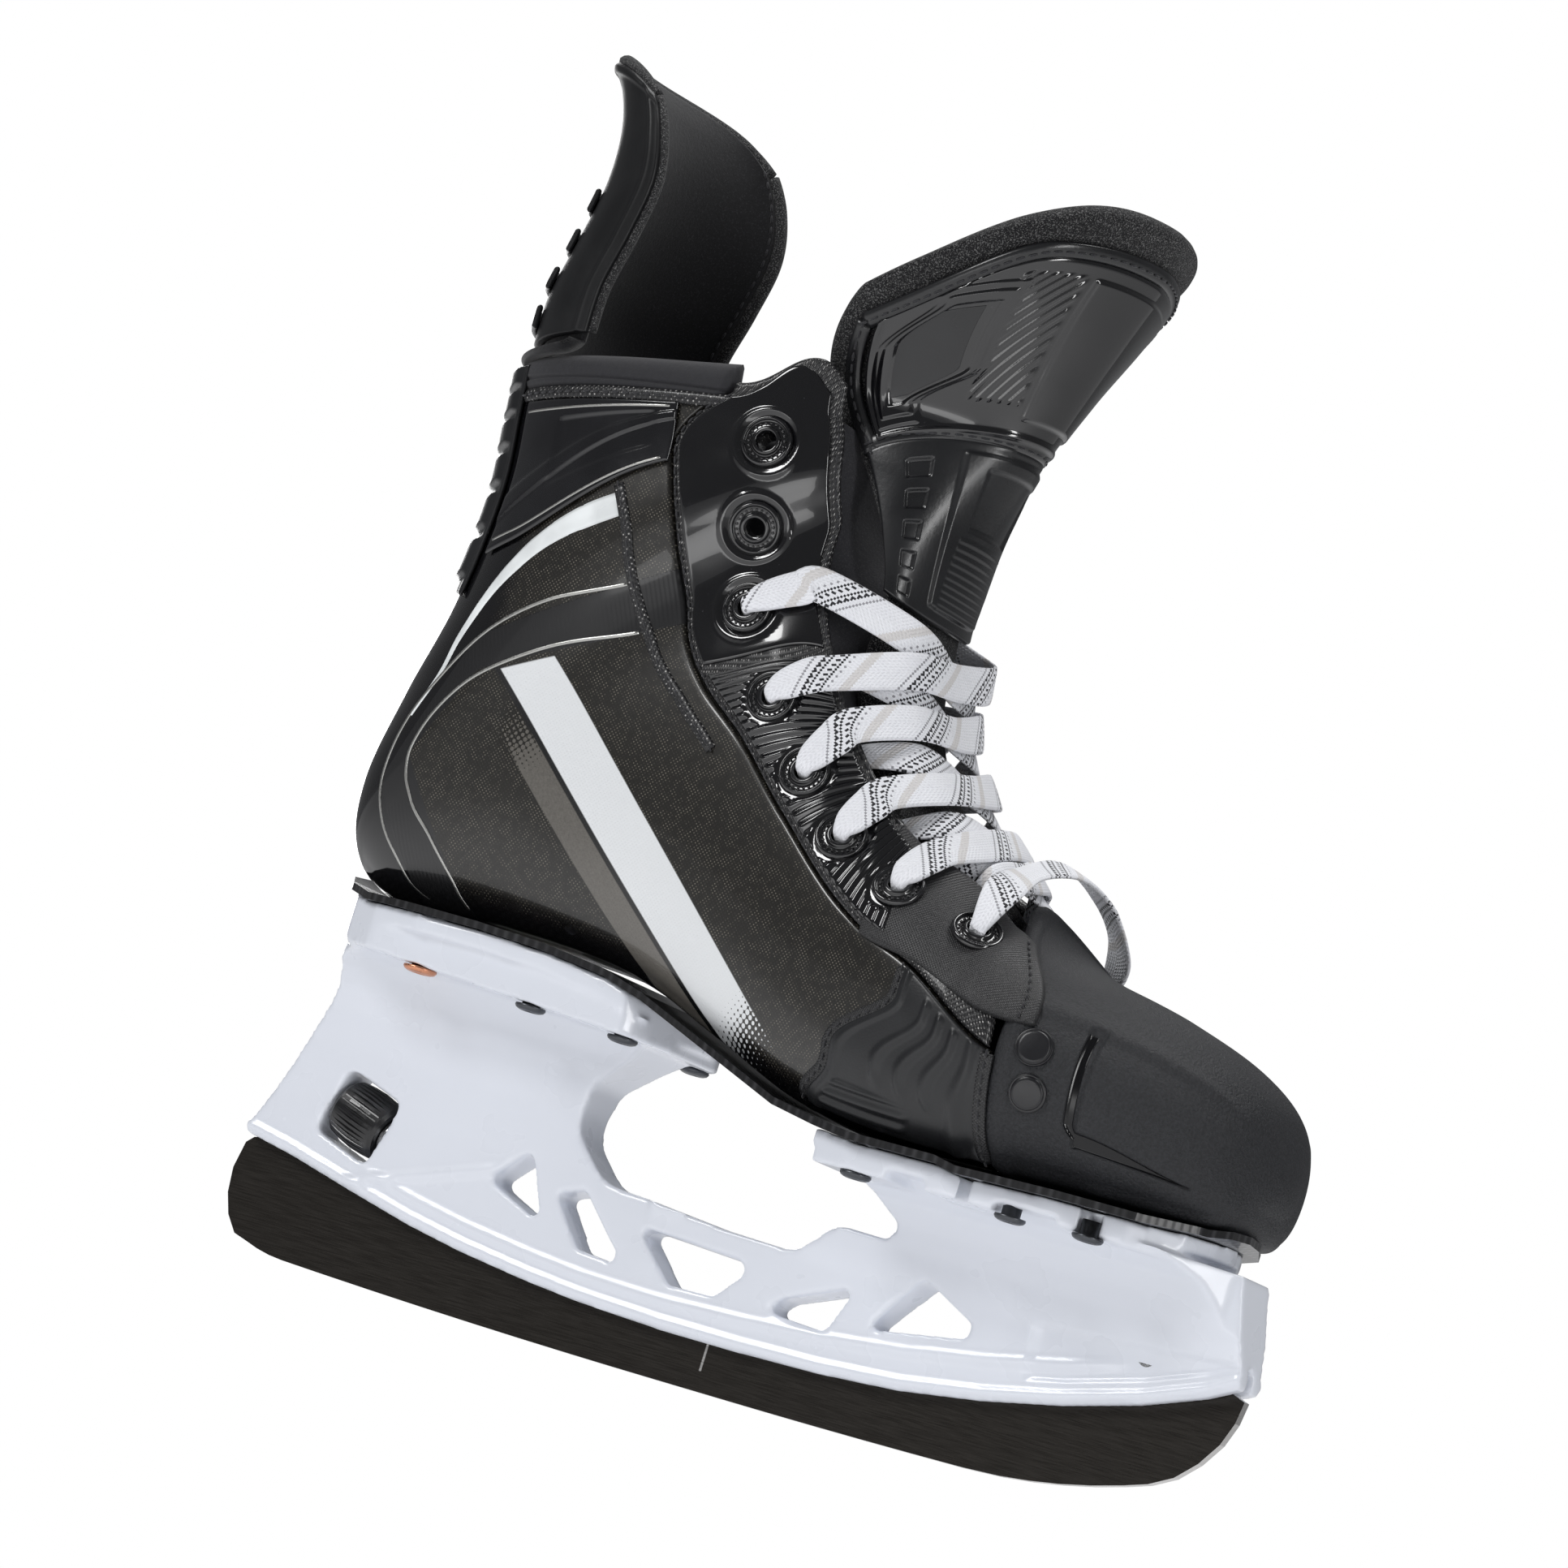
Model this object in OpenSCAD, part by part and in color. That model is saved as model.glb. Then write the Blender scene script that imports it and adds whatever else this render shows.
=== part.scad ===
// Ice hockey skate for the right foot: boot, blade holder and quick-release steel runner.
// The toe points along +X and the inner side of the foot along +Y.
// The runner stands on z = 0 at x = 0, and lengths are in millimetres.

/* [Runner] */
// Length of the steel runner, tip to tip
runner_len = 288; // [284:1:290]
// Thickness of the steel
runner_t = 3; // [2.8:0.1:3.2]
// Radius of the rocker along the ice edge
rocker_r = 2900; // [2400:100:3600]

/* [Holder] */
// Half thickness of the holder where it grips the runner
holder_half = 4.3; // [3.8:0.1:5]
// Width of the slot that takes the runner
slot_w = 3.3; // [3.2:0.1:3.6]

/* [Dial] */
// Radius of the release dial
dial_r = 8.3; // [7.6:0.1:8.6]
// Length of the release dial
dial_len = 15; // [13:0.5:15]
// Slope of the dial axis below the X axis, in degrees
dial_tilt = 18; // [16:1:20]
// Travel of the drawbolt over four turns of the dial
bolt_travel = 5; // [3:0.5:5]

/* [Boot] */
// Thickness of the quarter shell
shell_t = 2.8; // [2:0.1:3.2]
// Thickness of the inner liner
liner_t = 4.2; // [3:0.1:4.5]
// Width of the eyelet facings over the instep
facing_w = 25; // [22:0.5:26]
// Width of the eyelet facings at the ankle
facing_top_w = 43; // [38:0.5:44]
// Bore radius of the eyelets
eyelet_bore = 2.5; // [2:0.1:2.6]
// Radius of the eyelet flanges
eyelet_flange = 7; // [6:0.1:7.2]

/* [Lace] */
// Width of the flat lace
lace_w = 9; // [7:0.5:10]
// Thickness of the lace
lace_t = 1.5; // [1:0.1:1.8]

/* [Hidden] */
$fn = 48;
gap = 0.3;

// ---- curves ----
// Value between b and c on the smooth curve through a, b, c and d
function between(a, b, c, d, f) = 0.5 * (2 * b + (c - a) * f
    + (2 * a - 5 * b + 4 * c - d) * f * f + (3 * b - a - 3 * c + d) * f * f * f);
// Row of a table at the fractional index s
function row_at(table, s) = let(n = len(table), i = min(max(floor(s), 0), n - 2), f = s - i)
    [for (k = [0 : len(table[0]) - 1]) between(table[max(i - 1, 0)][k], table[i][k],
        table[i + 1][k], table[min(i + 2, n - 1)][k], f)];
function ease(x) = let(c = min(max(x, 0), 1)) c * c * (3 - 2 * c);
function mix(a, b, f) = a + (b - a) * f;
function unit(v) = v / norm(v);
// Outline with each corner rounded to radius r, given as [x, z, r] rows
function rounded(pts, n = 5) = [for (i = [0 : len(pts) - 1])
    let(m = len(pts), p = pts[i], a = pts[(i + m - 1) % m], b = pts[(i + 1) % m],
        q = [p[0], p[1]], u = unit([a[0], a[1]] - q), v = unit([b[0], b[1]] - q),
        half = acos(min(max(u * v, -1), 1)) / 2,
        d = p[2] / tan(max(half, 1)), c = q + unit(u + v) * p[2] / sin(max(half, 1)),
        t0 = q + u * d - c, t1 = q + v * d - c,
        a0 = atan2(t0[1], t0[0]), da = ((atan2(t1[1], t1[0]) - a0 + 540) % 360) - 180)
    each p[2] == 0 ? [q] : [for (k = [0 : n]) c + p[2] * [cos(a0 + da * k / n), sin(a0 + da * k / n)]]];
// Plate with an XZ outline, w wide and centred on y = 0
module plate(w) rotate([90, 0, 0]) linear_extrude(w, center = true) children();
// Moves a child so that its Z axis lies along n at point p
module along(p, n) translate(p) rotate([0, acos(n[2] / norm(n)), atan2(n[1], n[0])]) children();

// ---- boot surface ----
// Cross-sections from the toe (0) round the heel to the collar (18). Each row holds the
// sole or heel point, the instep point, the half width, the shift towards the inner side
// and the roundness at the sole and at the instep.
SECTIONS = [
    [133, 80, 133.5, 93, 12, 5, 0.5, 0.6],
    [129, 73, 128, 104.5, 26, 5, 0.45, 0.6],
    [117, 71.5, 115.5, 113, 37, 4, 0.4, 0.62],
    [98, 71, 97, 119.5, 44.5, 2, 0.4, 0.66],
    [70, 70, 69, 127, 48.5, 0, 0.4, 0.8],
    [42, 70, 44, 147, 47, 0, 0.4, 1.3],
    [16, 74, 22, 163, 42, 0, 0.4, 1.2],
    [-12, 84, 4, 185, 38.5, 0, 0.42, 0.75],
    [-42, 94, -6, 203, 37, 0, 0.45, 0.5],
    [-80, 97, -8.5, 211, 36, 0, 0.5, 0.4],
    [-115, 97.5, -10, 217, 35.5, 0, 0.6, 0.36],
    [-131, 106, -11, 221, 36, 0, 0.68, 0.34],
    [-135.5, 122, -12, 225, 37.5, 0, 0.72, 0.32],
    [-131, 145, -13, 229, 39.5, 0, 0.72, 0.3],
    [-124, 171, -14, 233, 41, 0, 0.7, 0.3],
    [-121.5, 200, -15.5, 237, 40.5, 0, 0.7, 0.3],
    [-123.5, 222, -17, 240, 40.5, 0, 0.7, 0.3],
    [-125, 237, -18, 243, 41, 0, 0.7, 0.3],
    [-126.5, 250, -19.5, 256, 41.5, 0, 0.7, 0.3]];
// Point on the boot surface: s along the sections, t from -1 (outer side) through 0 (sole) to 1
function skin0(s, t) = let(r = row_at(SECTIONS, s), w = t > 1 ? t - 2 : t < -1 ? t + 2 : t,
    a = 180 * abs(w), v = (1 - cos(a)) / 2, p = mix(r[6], r[7], ease((abs(w) - 0.3) / 0.4)),
    y = r[5] + sign(w) * r[4] * pow(max(sin(a), 0), p))
    [mix(r[0], r[2], v), y, mix(r[1], r[3], v)];
function skin_n(s, t) = unit(cross(skin0(s + 0.02, t) - skin0(s - 0.02, t),
    skin0(s, t + 0.01) - skin0(s, t - 0.01)));
function skin(s, t, off) = skin0(s, t) + off * skin_n(s, t);
// t of the throat edge, and of the line that lies w mm behind it
function t_edge(s) = 0.745 + 0.12 * ease((s - 6.3) / 5) + 0.1 * ease((5.6 - s) / 1.5);
function t_back(s, w) = let(r = row_at(SECTIONS, s), l = norm([r[2] - r[0], r[3] - r[1]]),
    v = (1 - cos(180 * t_edge(s))) / 2 - w / l) acos(1 - 2 * v) / 180;

// Line that closes the facing at the back, d mm further from the edge
function facing_back(s, d = 0) = t_back(s, mix(facing_w, facing_top_w, ease((s - 5.3) / 5))
    - 16 * ease((s - 15) / 2.1) + d);
// Section at which the toe cap ends: straight on the sides, further back over the instep
toe_end = 3.77;
function toe_end_at(t, limit = 5) = min(toe_end + 0.8 * pow(ease((abs(t) - 0.55) / 0.45), 2), limit);

// Closed shell between two offsets of the boot surface. lo and hi give t for each s.
module patch(s0, s1, ns, lo, hi, nt, outer, inner, top = function(f) 0, bottom = function(f) 0) {
    m = nt + 1;
    k = (ns + 1) * m;
    function at(i, j, off) = let(f = j / nt, s = mix(s0 + bottom(f), s1 + top(f), i / ns))
        skin(s, mix(lo(s), hi(s), f), off);
    pts = [for (off = [outer, inner]) for (i = [0 : ns]) for (j = [0 : nt]) at(i, j, off)];
    function quad(a, b, c, d) = [[a, b, c], [a, c, d]];
    faces = [for (i = [0 : ns - 1]) for (j = [0 : nt - 1]) let(a = i * m + j)
            each concat(quad(a, a + 1, a + m + 1, a + m), quad(a + k, a + k + m, a + k + m + 1, a + k + 1)),
        for (i = [0 : ns - 1]) let(a = i * m, b = a + nt)
            each concat(quad(a, a + m, a + m + k, a + k), quad(b + m, b, b + k, b + m + k)),
        for (j = [0 : nt - 1]) let(a = j, b = ns * m + j)
            each concat(quad(a + 1, a, a + k, a + 1 + k), quad(b, b + 1, b + 1 + k, b + k))];
    polyhedron(pts, faces);
}
// Closed cap over the toe from section s0 to its end, or to a limit
module toe_patch(s0, limit, ns, nt, outer, inner) {
    function at(i, t, off) = skin(mix(s0, toe_end_at(t, limit), i / ns), t, off);
    k = (ns + 1) * nt;
    pts = concat([for (off = [outer, inner]) for (i = [0 : ns]) for (j = [0 : nt - 1])
            at(i, -1 + 2 * j / nt, off)],
        [for (off = [outer, inner]) (skin(s0, 0, off) + skin(s0, 1, off)) / 2]);
    function quad(a, b, c, d) = [[a, b, c], [a, c, d]];
    faces = [for (i = [0 : ns - 1]) for (j = [0 : nt - 1])
            let(a = i * nt + j, b = i * nt + (j + 1) % nt)
            each concat(quad(a, b, b + nt, a + nt), quad(a + k, a + nt + k, b + nt + k, b + k)),
        for (j = [0 : nt - 1]) let(a = j, b = (j + 1) % nt, e = ns * nt)
            each concat([[b, a, 2 * k], [a + k, b + k, 2 * k + 1]],
                quad(a + e, b + e, b + e + k, a + e + k))];
    polyhedron(pts, faces);
}

// ---- holder and runner ----
// Lower edge of the holder, where the runner comes out, from tail to toe
GRIP = [[-141, 31], [-126.6, 28.3], [-107.4, 23.8], [-88.5, 19.6], [-72, 16.8], [-52, 14.4],
    [-36, 13], [-12, 12], [12, 12], [34, 12.5], [56, 14], [78, 17.2], [99, 21.5], [119.5, 27],
    [135, 32.6], [143.5, 36.8]];
function lifted(pts, dz) = [for (p = pts) [p[0], p[1] + dz]];
function flipped(pts) = [for (i = [len(pts) - 1 : -1 : 0]) pts[i]];
half_len = runner_len / 2;
// Height of the ice edge at x: flat under the balance point, then the rocker and a toe rise
function ice(x) = let(d = max(abs(x) - 12, 0)) d * d / 2 / rocker_r
    + (x > 78 ? (x - 78) * (x - 78) / 2 / 160 : 0) + (x < -122 ? pow(x + 122, 2) / 2 / 40 : 0);
ICE_EDGE = [for (x = [-134, -130, -126, -122, -110, -95, -80, -65, -50, -35, -24, -12, 12, 24, 36,
    50, 64, 78, 88, 96, 104, 112, 120, 126]) [x, ice(x)]];
TOE_CURVE = [[132, 12.6], [137, 17.4], [141, 23.2], [half_len - 0.8, 29], [half_len, 34.5]];
TAIL_CURVE = [[-half_len + 3.4, 30.4], [-half_len + 1.4, 28.6], [-half_len, 21.5], [-half_len + 0.7, 15],
    [-half_len + 2.8, 9.6], [-half_len + 6.2, 5.4]];
// Front pivot of the runner, and centre of the dial
PIVOT = [118, 0, 38.5];
DIAL = [-110.5, 0, 42.3];
DIAL_AXIS = [cos(dial_tilt), 0, -sin(dial_tilt)];
// Cross pin of the drawbolt at rest, and how far it moves relative to the runner's lug
PIN = DIAL + DIAL_AXIS * 20.5;
runner_drop = 1.6;
lug_drop = (PIVOT[0] - PIN[0]) * sin(runner_drop);
cam = [bolt_travel * DIAL_AXIS[0], bolt_travel * DIAL_AXIS[2] + lug_drop];
cam_len = norm(cam);
cam_a = atan2(cam[1], cam[0]);
module along_dial(x = 0) translate(DIAL + DIAL_AXIS * x) rotate([0, 90 + dial_tilt, 0]) children();

module runner() color("#2b2724") difference() {
    union() {
        plate(runner_t) polygon(concat(TAIL_CURVE, ICE_EDGE, TOE_CURVE, flipped(lifted(
            [for (p = GRIP) if (p[0] > -138 && p[0] < 141) p], 5))));
        // front hook and rear lug
        plate(runner_t) polygon(rounded([[110, 28, 0], [131, 34, 0], [126, 42.5, 3], [118, 44.5, 4],
            [111.5, 42, 3]]));
        plate(runner_t) polygon(rounded([[-95.4, 20, 0], [-81, 18, 0], [-82.6, 41, 2], [-86.6, 43.6, 2],
            [-93.6, 39.2, 2]]));
    }
    translate(PIVOT) rotate([90, 0, 0]) cylinder(r = 2.55, h = 2 * runner_t, center = true);
    // mouth of the hook, open to the rear
    translate(PIVOT - [4, 0, 0]) cube([8, 2 * runner_t, 5.1], center = true);
    translate(PIN) rotate([0, -cam_a, 0]) {
        rotate([90, 0, 0]) cylinder(r = 1.35, h = 2 * runner_t, center = true);
        translate([cam_len, 0, 0]) rotate([90, 0, 0]) cylinder(r = 1.35, h = 2 * runner_t, center = true);
        translate([0, -runner_t, -1.35]) cube([cam_len, 2 * runner_t, 2.7]);
    }
}
module front_hook_pin() color("silver")
    translate(PIVOT) rotate([90, 0, 0]) cylinder(r = 2.5, h = 10.4, center = true);

// Thumb wheel with ribs, barrel shaped, on the drawbolt's axis
ribs = 36;
module dial() color("#15161a") along_dial() difference() {
    intersection() {
        rotate_extrude($fn = 96) polygon([[0, -dial_len / 2], [6.9, -dial_len / 2], [7.6, -dial_len / 2 + 1],
            [8.05, -3.6], [dial_r, 0], [8.05, 3.6], [7.6, dial_len / 2 - 1], [6.9, dial_len / 2],
            [4.6, dial_len / 2], [3.6, dial_len / 2 - 1.6], [0, dial_len / 2 - 1.6]]);
        linear_extrude(dial_len + 2, center = true) polygon([for (k = [0 : ribs - 1]) for (q = [0 : 3])
            let(a = (k + q / 4) * 360 / ribs, r = dial_r + (q < 2 ? 0.2 : -0.6)) r * [cos(a), sin(a)]]);
    }
    cylinder(r = 2.06, h = dial_len + 4, center = true);
}
module dial_washers() color("silver") for (side = [-1, 1])
    along_dial(side * (dial_len / 2 + 0.75)) difference() {
        cylinder(r = 5, h = 0.9, center = true);
        cylinder(r = 2.2, h = 4, center = true);
    }
// Threaded bolt with a fork that carries the cross pin
module drawbolt() color("silver") {
    along_dial() translate([0, 0, -0.5]) cylinder(r = 2, h = 25, center = true);
    difference() {
        translate(DIAL + DIAL_AXIS * 17) rotate([0, dial_tilt, 0]) cube([12, 6.8, 6], center = true);
        translate(DIAL + DIAL_AXIS * 19.2) rotate([0, dial_tilt, 0]) cube([12, 3.5, 9], center = true);
    }
    translate(PIN) rotate([90, 0, 0]) cylinder(r = 1.25, h = 6.8, center = true);
}

// Rows of the holder's profile across: height and half thickness
REAR_FLARE = [[8, holder_half], [24, 5], [44, 6], [58, 7.2], [68, 8.8], [74, 10.8], [78, 13.5],
    [81, 16.5], [84, 24]];
FRONT_FLARE = [[8, holder_half], [24, 5], [38, 6.2], [47, 8], [53, 10.5], [58, 14.5], [61, 20], [63, 26]];
module flare(rows, x0, x1) translate([x0, 0, 0]) rotate([90, 0, 90]) linear_extrude(x1 - x0)
    polygon(concat([for (r = rows) [r[1], r[0]]], [for (r = flipped(rows)) [-r[1], r[0]]]));
// Plan of the towers, which run out to thin edges at the toe and the heel
TOWER_PLAN = [[-150, 7.5], [-134, 7.5], [-127, 12], [-119, 20], [-106, 40], [104, 40], [118, 28], [128, 17],
    [136, 9], [150, 7.5]];
// Outline of the sole as half widths along x
SOLE = [[134, 0], [133, 9], [129, 20], [117, 31.5], [98, 39.5], [70, 43.5], [42, 41.5], [16, 35],
    [-12, 30], [-42, 29.5], [-75, 31], [-100, 31.5], [-114, 28.6], [-124, 22], [-130, 12], [-132, 0]];
// Sole outline pulled in by about d all round
module sole_outline(d) polygon([for (p = concat([for (p = SOLE) [p[0], -p[1]]],
    [for (i = [len(SOLE) - 2 : -1 : 1]) SOLE[i]])) [p[0] * (1 - d / 133), p[1] * (1 - d / 43)]]);
// Underside of the boot, from toe to heel
SOLE_LINE = [[136, 75], [129, 71.3], [117, 69.8], [98, 69.3], [72, 68.4], [66, 69.6], [42, 69.6], [30, 71],
    [16, 73.4], [-12, 83.3], [-30, 90], [-42, 93.4], [-60, 95.6], [-80, 96.6], [-115, 97],
    [-126, 99.5], [-134, 104]];
module sole_band(hi, lo) rotate([90, 0, 0]) linear_extrude(120, center = true)
    polygon(concat(lifted(SOLE_LINE, hi), flipped(lifted(SOLE_LINE, lo))));

// Windows of the holder, as rows of x, z and corner radius
WINDOWS = [
    [[-69.5, 36.3, 2], [-59, 46, 1.5], [-51.4, 29, 1.5]],
    [[-49.5, 37.5, 1.5], [-41.5, 40, 1.5], [-28.6, 27.3, 1], [-28.6, 24.6, 1], [-39.6, 25.6, 1]],
    [[-25, 35.4, 1.5], [10.6, 33.6, 2.5], [1, 23.6, 3], [-12, 23.2, 2]],
    [[16.5, 23.6, 1], [19.5, 27.6, 2], [38.8, 35.2, 1.5], [33, 22.8, 1.5]],
    [[44, 26.3, 1], [56, 42, 2.5], [71.6, 34.2, 2], [70.6, 30.6, 2]]];
// Outline of the towers and rails between them
HOLDER_LINE = rounded([[-122, 90, 0], [-125.5, 71.4, 4], [-135.2, 46.5, 12], [-141.8, 32.5, 1.5], each
    [for (p = GRIP) [p[0], p[1], 0]], [143.8, 39, 1.5], [138.8, 57.7, 14], [135.2, 75, 0], [26, 75, 0],
    [36.5, 61.4, 4], [46.7, 52.6, 1.5], [44.4, 48.6, 3], [29.4, 48.8, 8], [20, 39.6, 9], [0, 40.2, 20],
    [-25, 42.4, 20], [-37, 43, 12], [-48.6, 54, 10], [-46.5, 66, 6], [-33, 79, 3], [-26, 90, 0]]);
rear_flange_top = -2.3;
module rear_flange() intersection() {
    linear_extrude(200) intersection() {
        sole_outline(3);
        polygon(rounded([[-140, -40, 0], [-24, -40, 40], [-24, 40, 40], [-140, 40, 0]], 12));
    }
    union() {
        intersection() {
            sole_band(rear_flange_top, -7);
            translate([-140, -60, 0]) cube([120, 120, 200]);
        }
        // lower lip, set in all round
        rotate([90, 0, 0]) linear_extrude(54, center = true)
            polygon([[-128, 92], [-120, 83.5], [-26, 78], [-26, 84], [-60, 91]]);
    }
}
module front_flange() intersection() {
    linear_extrude(200) intersection() {
        sole_outline(4.5);
        polygon([[30, -60], [140, -60], [140, 60], [30, 60]]);
    }
    union() {
        sole_band(rear_flange_top, -6.4);
        // stepped pads round the rivets
        for (p = [[31, 53, 60.6], [64, 82, 60.4], [98, 121, 61]]) translate([p[0], -60, p[2]])
            cube([p[1] - p[0], 120, 5]);
    }
}
FRONT_RIVETS = [[43, 33], [74, 35.5], [105, 30.5]];
REAR_RIVETS = [[-62, 23.5], [-36, 20.5]];
COPPER_RIVETS = [[-96, 23]];
module at_rivets(rows) for (r = rows) for (side = [-1, 1]) translate([r[0], side * r[1], 0]) children();

module holder() color("white") difference() {
    union() {
        intersection() {
            plate(80) difference() {
                polygon(HOLDER_LINE);
                for (w = WINDOWS) polygon(rounded(w));
            }
            union() {
                flare(REAR_FLARE, -150, -22);
                flare(FRONT_FLARE, -22.01, 150);
            }
            linear_extrude(200) polygon(concat(TOWER_PLAN, [for (p = flipped(TOWER_PLAN)) [p[0], -p[1]]]));
        }
        rear_flange();
        front_flange();
    }
    // slot of the runner, with pockets for its hook and lug
    plate(slot_w) polygon(concat(lifted(GRIP, -9), [[146, 30], [146, 44]], flipped(lifted(
        [for (p = GRIP) if (p[0] < 141) p], 6.2)), [[-146, 37], [-146, 20]]));
    plate(slot_w) polygon([[107, 20], [134, 20], [134, 38], [127.5, 46.5], [108, 46.5]]);
    translate(PIVOT) rotate([90, 0, 0]) cylinder(r = 2.52, h = 10.6, center = true);
    // channel of the drawbolt and its fork
    translate(DIAL + DIAL_AXIS * 17.6) rotate([0, dial_tilt, 0]) cube([26.5, 7.6, 7.2], center = true);
    plate(slot_w) polygon([[-100, 14], [-78, 14], [-78, 45.5], [-100, 45.5]]);
    // window and bearing seat of the dial
    translate(DIAL) rotate([0, dial_tilt, 0]) plate(40)
        polygon(rounded([for (c = [[-1, -1], [1, -1], [1, 1], [-1, 1]])
            [c[0] * (dial_len / 2 + 1.25), c[1] * 9.1, 2]]));
    along_dial(-dial_len / 2 - 3.5) cylinder(r = 2.3, h = 8, center = true);
    for (r = FRONT_RIVETS) for (side = [-1, 1]) translate([r[0], side * r[1], 55]) cylinder(r = 2.6, h = 30);
    for (r = concat(REAR_RIVETS, COPPER_RIVETS)) for (side = [-1, 1])
        translate([r[0], side * r[1], 70]) cylinder(r = 2.6, h = 40);
}
// Thin stiff plate between the boot and the holder
module outsole() color("#101012") difference() {
    intersection() {
        linear_extrude(200) sole_outline(1);
        sole_band(-0.35, -2.2);
    }
    for (r = concat(FRONT_RIVETS, REAR_RIVETS, COPPER_RIVETS)) for (side = [-1, 1])
        translate([r[0], side * r[1], 55]) cylinder(r = 2.6, h = 60);
}
// Semi-tubular rivet: shank from z0 to z1 with a flat head under the flange
module rivet(z0, z1, head_r = 4) {
    translate([0, 0, z0]) cylinder(r = 2.4, h = z1 - z0);
    translate([0, 0, z0 - 1.2]) cylinder(r1 = head_r - 1, r2 = head_r, h = 1.2, $fn = 40);
}
module front_rivets() color("#3a3c42")
    for (k = [0 : 2]) at_rivets([FRONT_RIVETS[k]]) rivet([60.5, 60.3, 60.9][k], [68.9, 68, 68.9][k]);
module rear_rivets() color("#3a3c42")
    for (k = [0 : 1]) at_rivets([REAR_RIVETS[k]]) rivet([79.7, 78.3][k], [94.3, 90.6][k]);
module copper_rivets() color("#b87048") at_rivets(COPPER_RIVETS) rivet(81.8, 96, 4.2);

// ---- boot ----
shell_front = toe_end + 0.03;
shell_top = 16.3;
module quarter_shell() color("#17181b") patch(shell_front, shell_top, 32,
    function(s) -facing_back(s, gap), function(s) facing_back(s, gap), 30, 0, -shell_t);
module ankle_liner() color("#26272b") patch(shell_front + 0.1, shell_top - 0.1, 22,
    function(s) -facing_back(s, 1.5), function(s) facing_back(s, 1.5), 22,
    -shell_t - 2 * gap, -shell_t - 2 * gap - liner_t);
module footbed() color("#2d2e33") intersection() {
    linear_extrude(200) sole_outline(19);
    sole_band(14, 11.3);
}
module toe_cap() color("#1c1d20") toe_patch(0, 5, 13, 40, 1.1, -1.6);
module toe_liner() color("#333439") toe_patch(0.5, toe_end - 0.02, 8, 28, -2.6, -5);
STUDS = [[3.46, 0.54], [3.42, 0.41]];
module toe_cap_studs() color("#131416") for (side = [-1, 1]) for (p = STUDS)
    along(skin(p[0], side * p[1], 1.2), skin_n(p[0], side * p[1])) translate([0, 0, 0.02])
        cylinder(r = 4.6, h = 0.9);
module forefoot_overlay(side) patch(shell_front + 0.03, 5.35, 10,
    function(s) side > 0 ? 0.14 : -facing_back(s, 0.6), function(s) side > 0 ? facing_back(s, 0.6) : -0.14,
    12, 2.1, 0.3);
module forefoot_overlay_lateral() color("#24262a") forefoot_overlay(-1);
module forefoot_overlay_medial() color("#24262a") forefoot_overlay(1);
module ankle_badge(side) patch(14.6, 16.15, 8, function(s) side > 0 ? 0.27 : -0.52,
    function(s) side > 0 ? 0.52 : -0.27, 8, 1.6, 0.3);
module ankle_badge_lateral() color("#0c0d0f") ankle_badge(-1);
module ankle_badge_medial() color("#0c0d0f") ankle_badge(1);
module heel_spine() color("#0e0f11") patch(14.3, 16.9, 18, function(s) -0.2, function(s) 0.2, 8, 3, 0.3);
module collar_padding() color("#2a2b2f") patch(shell_top + 0.08, 17.1, 5,
    function(s) -facing_back(s, gap), function(s) facing_back(s, gap), 30, -0.4, -8,
    top = function(f) 0.35 * pow(abs(2 * f - 1), 2));

// Eyelets from the toe up: section of each and its distance behind the edge
EYELETS = [[4.44, 8], [5.33, 12], [6.2, 15.5], [6.94, 18], [7.88, 21.5], [9.6, 24], [12.3, 21.8],
    [14.95, 17.8]];
facing_out = 1.2;
facing_in = -3;
function eyelet_t(i) = t_back(EYELETS[i][0], EYELETS[i][1]);
function eyelet_at(i, side, off) = skin(EYELETS[i][0], side * eyelet_t(i), off);
function eyelet_n(i, side) = skin_n(EYELETS[i][0], side * eyelet_t(i));
module at_eyelet(i, side, off = facing_out) along(eyelet_at(i, side, off), eyelet_n(i, side)) children();
module facing(side) difference() {
    patch(shell_front + 0.03, 17.1, 36,
        function(s) side > 0 ? facing_back(s) : -t_edge(s),
        function(s) side > 0 ? t_edge(s) : -facing_back(s), 5, facing_out, facing_in,
        top = function(f) 0.7 * pow(sin(135 * (side > 0 ? f : 1 - f)), 2),
        bottom = function(f) 0.42 * pow(side > 0 ? f : 1 - f, 2));
    for (i = [0 : 7]) at_eyelet(i, side) {
        translate([0, 0, -7.2]) cylinder(r = eyelet_bore + 1, h = 12);
        // seats of the flange and the inner washer
        translate([0, 0, 0.4]) cylinder(r = eyelet_flange + 0.2, h = 4);
        translate([0, 0, facing_in - facing_out - 4.3]) cylinder(r = eyelet_bore + 2.6, h = 4);
    }
}
module facing_lateral() color("#0d0e10") facing(-1);
module facing_medial() color("#0d0e10") facing(1);
// Tubular eyelet with a rolled flange outside and a washer inside
module eyelet() difference() {
    union() {
        translate([0, 0, facing_in - facing_out - 0.9]) cylinder(r = eyelet_bore + 0.95, h = 5.9);
        translate([0, 0, 0.5]) cylinder(r = eyelet_flange, h = 0.8);
        translate([0, 0, 0.5]) cylinder(r = eyelet_bore + 1.8, h = 1.2);
        translate([0, 0, facing_in - facing_out - 1.1]) cylinder(r = eyelet_bore + 2.4, h = 0.7);
    }
    translate([0, 0, -8]) cylinder(r = eyelet_bore, h = 12);
}
module eyelets_lateral() color("#0a0a0b") for (i = [0 : 6]) at_eyelet(i, -1) eyelet();
module eyelets_medial() color("#0a0a0b") for (i = [0 : 6]) at_eyelet(i, 1) eyelet();
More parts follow.
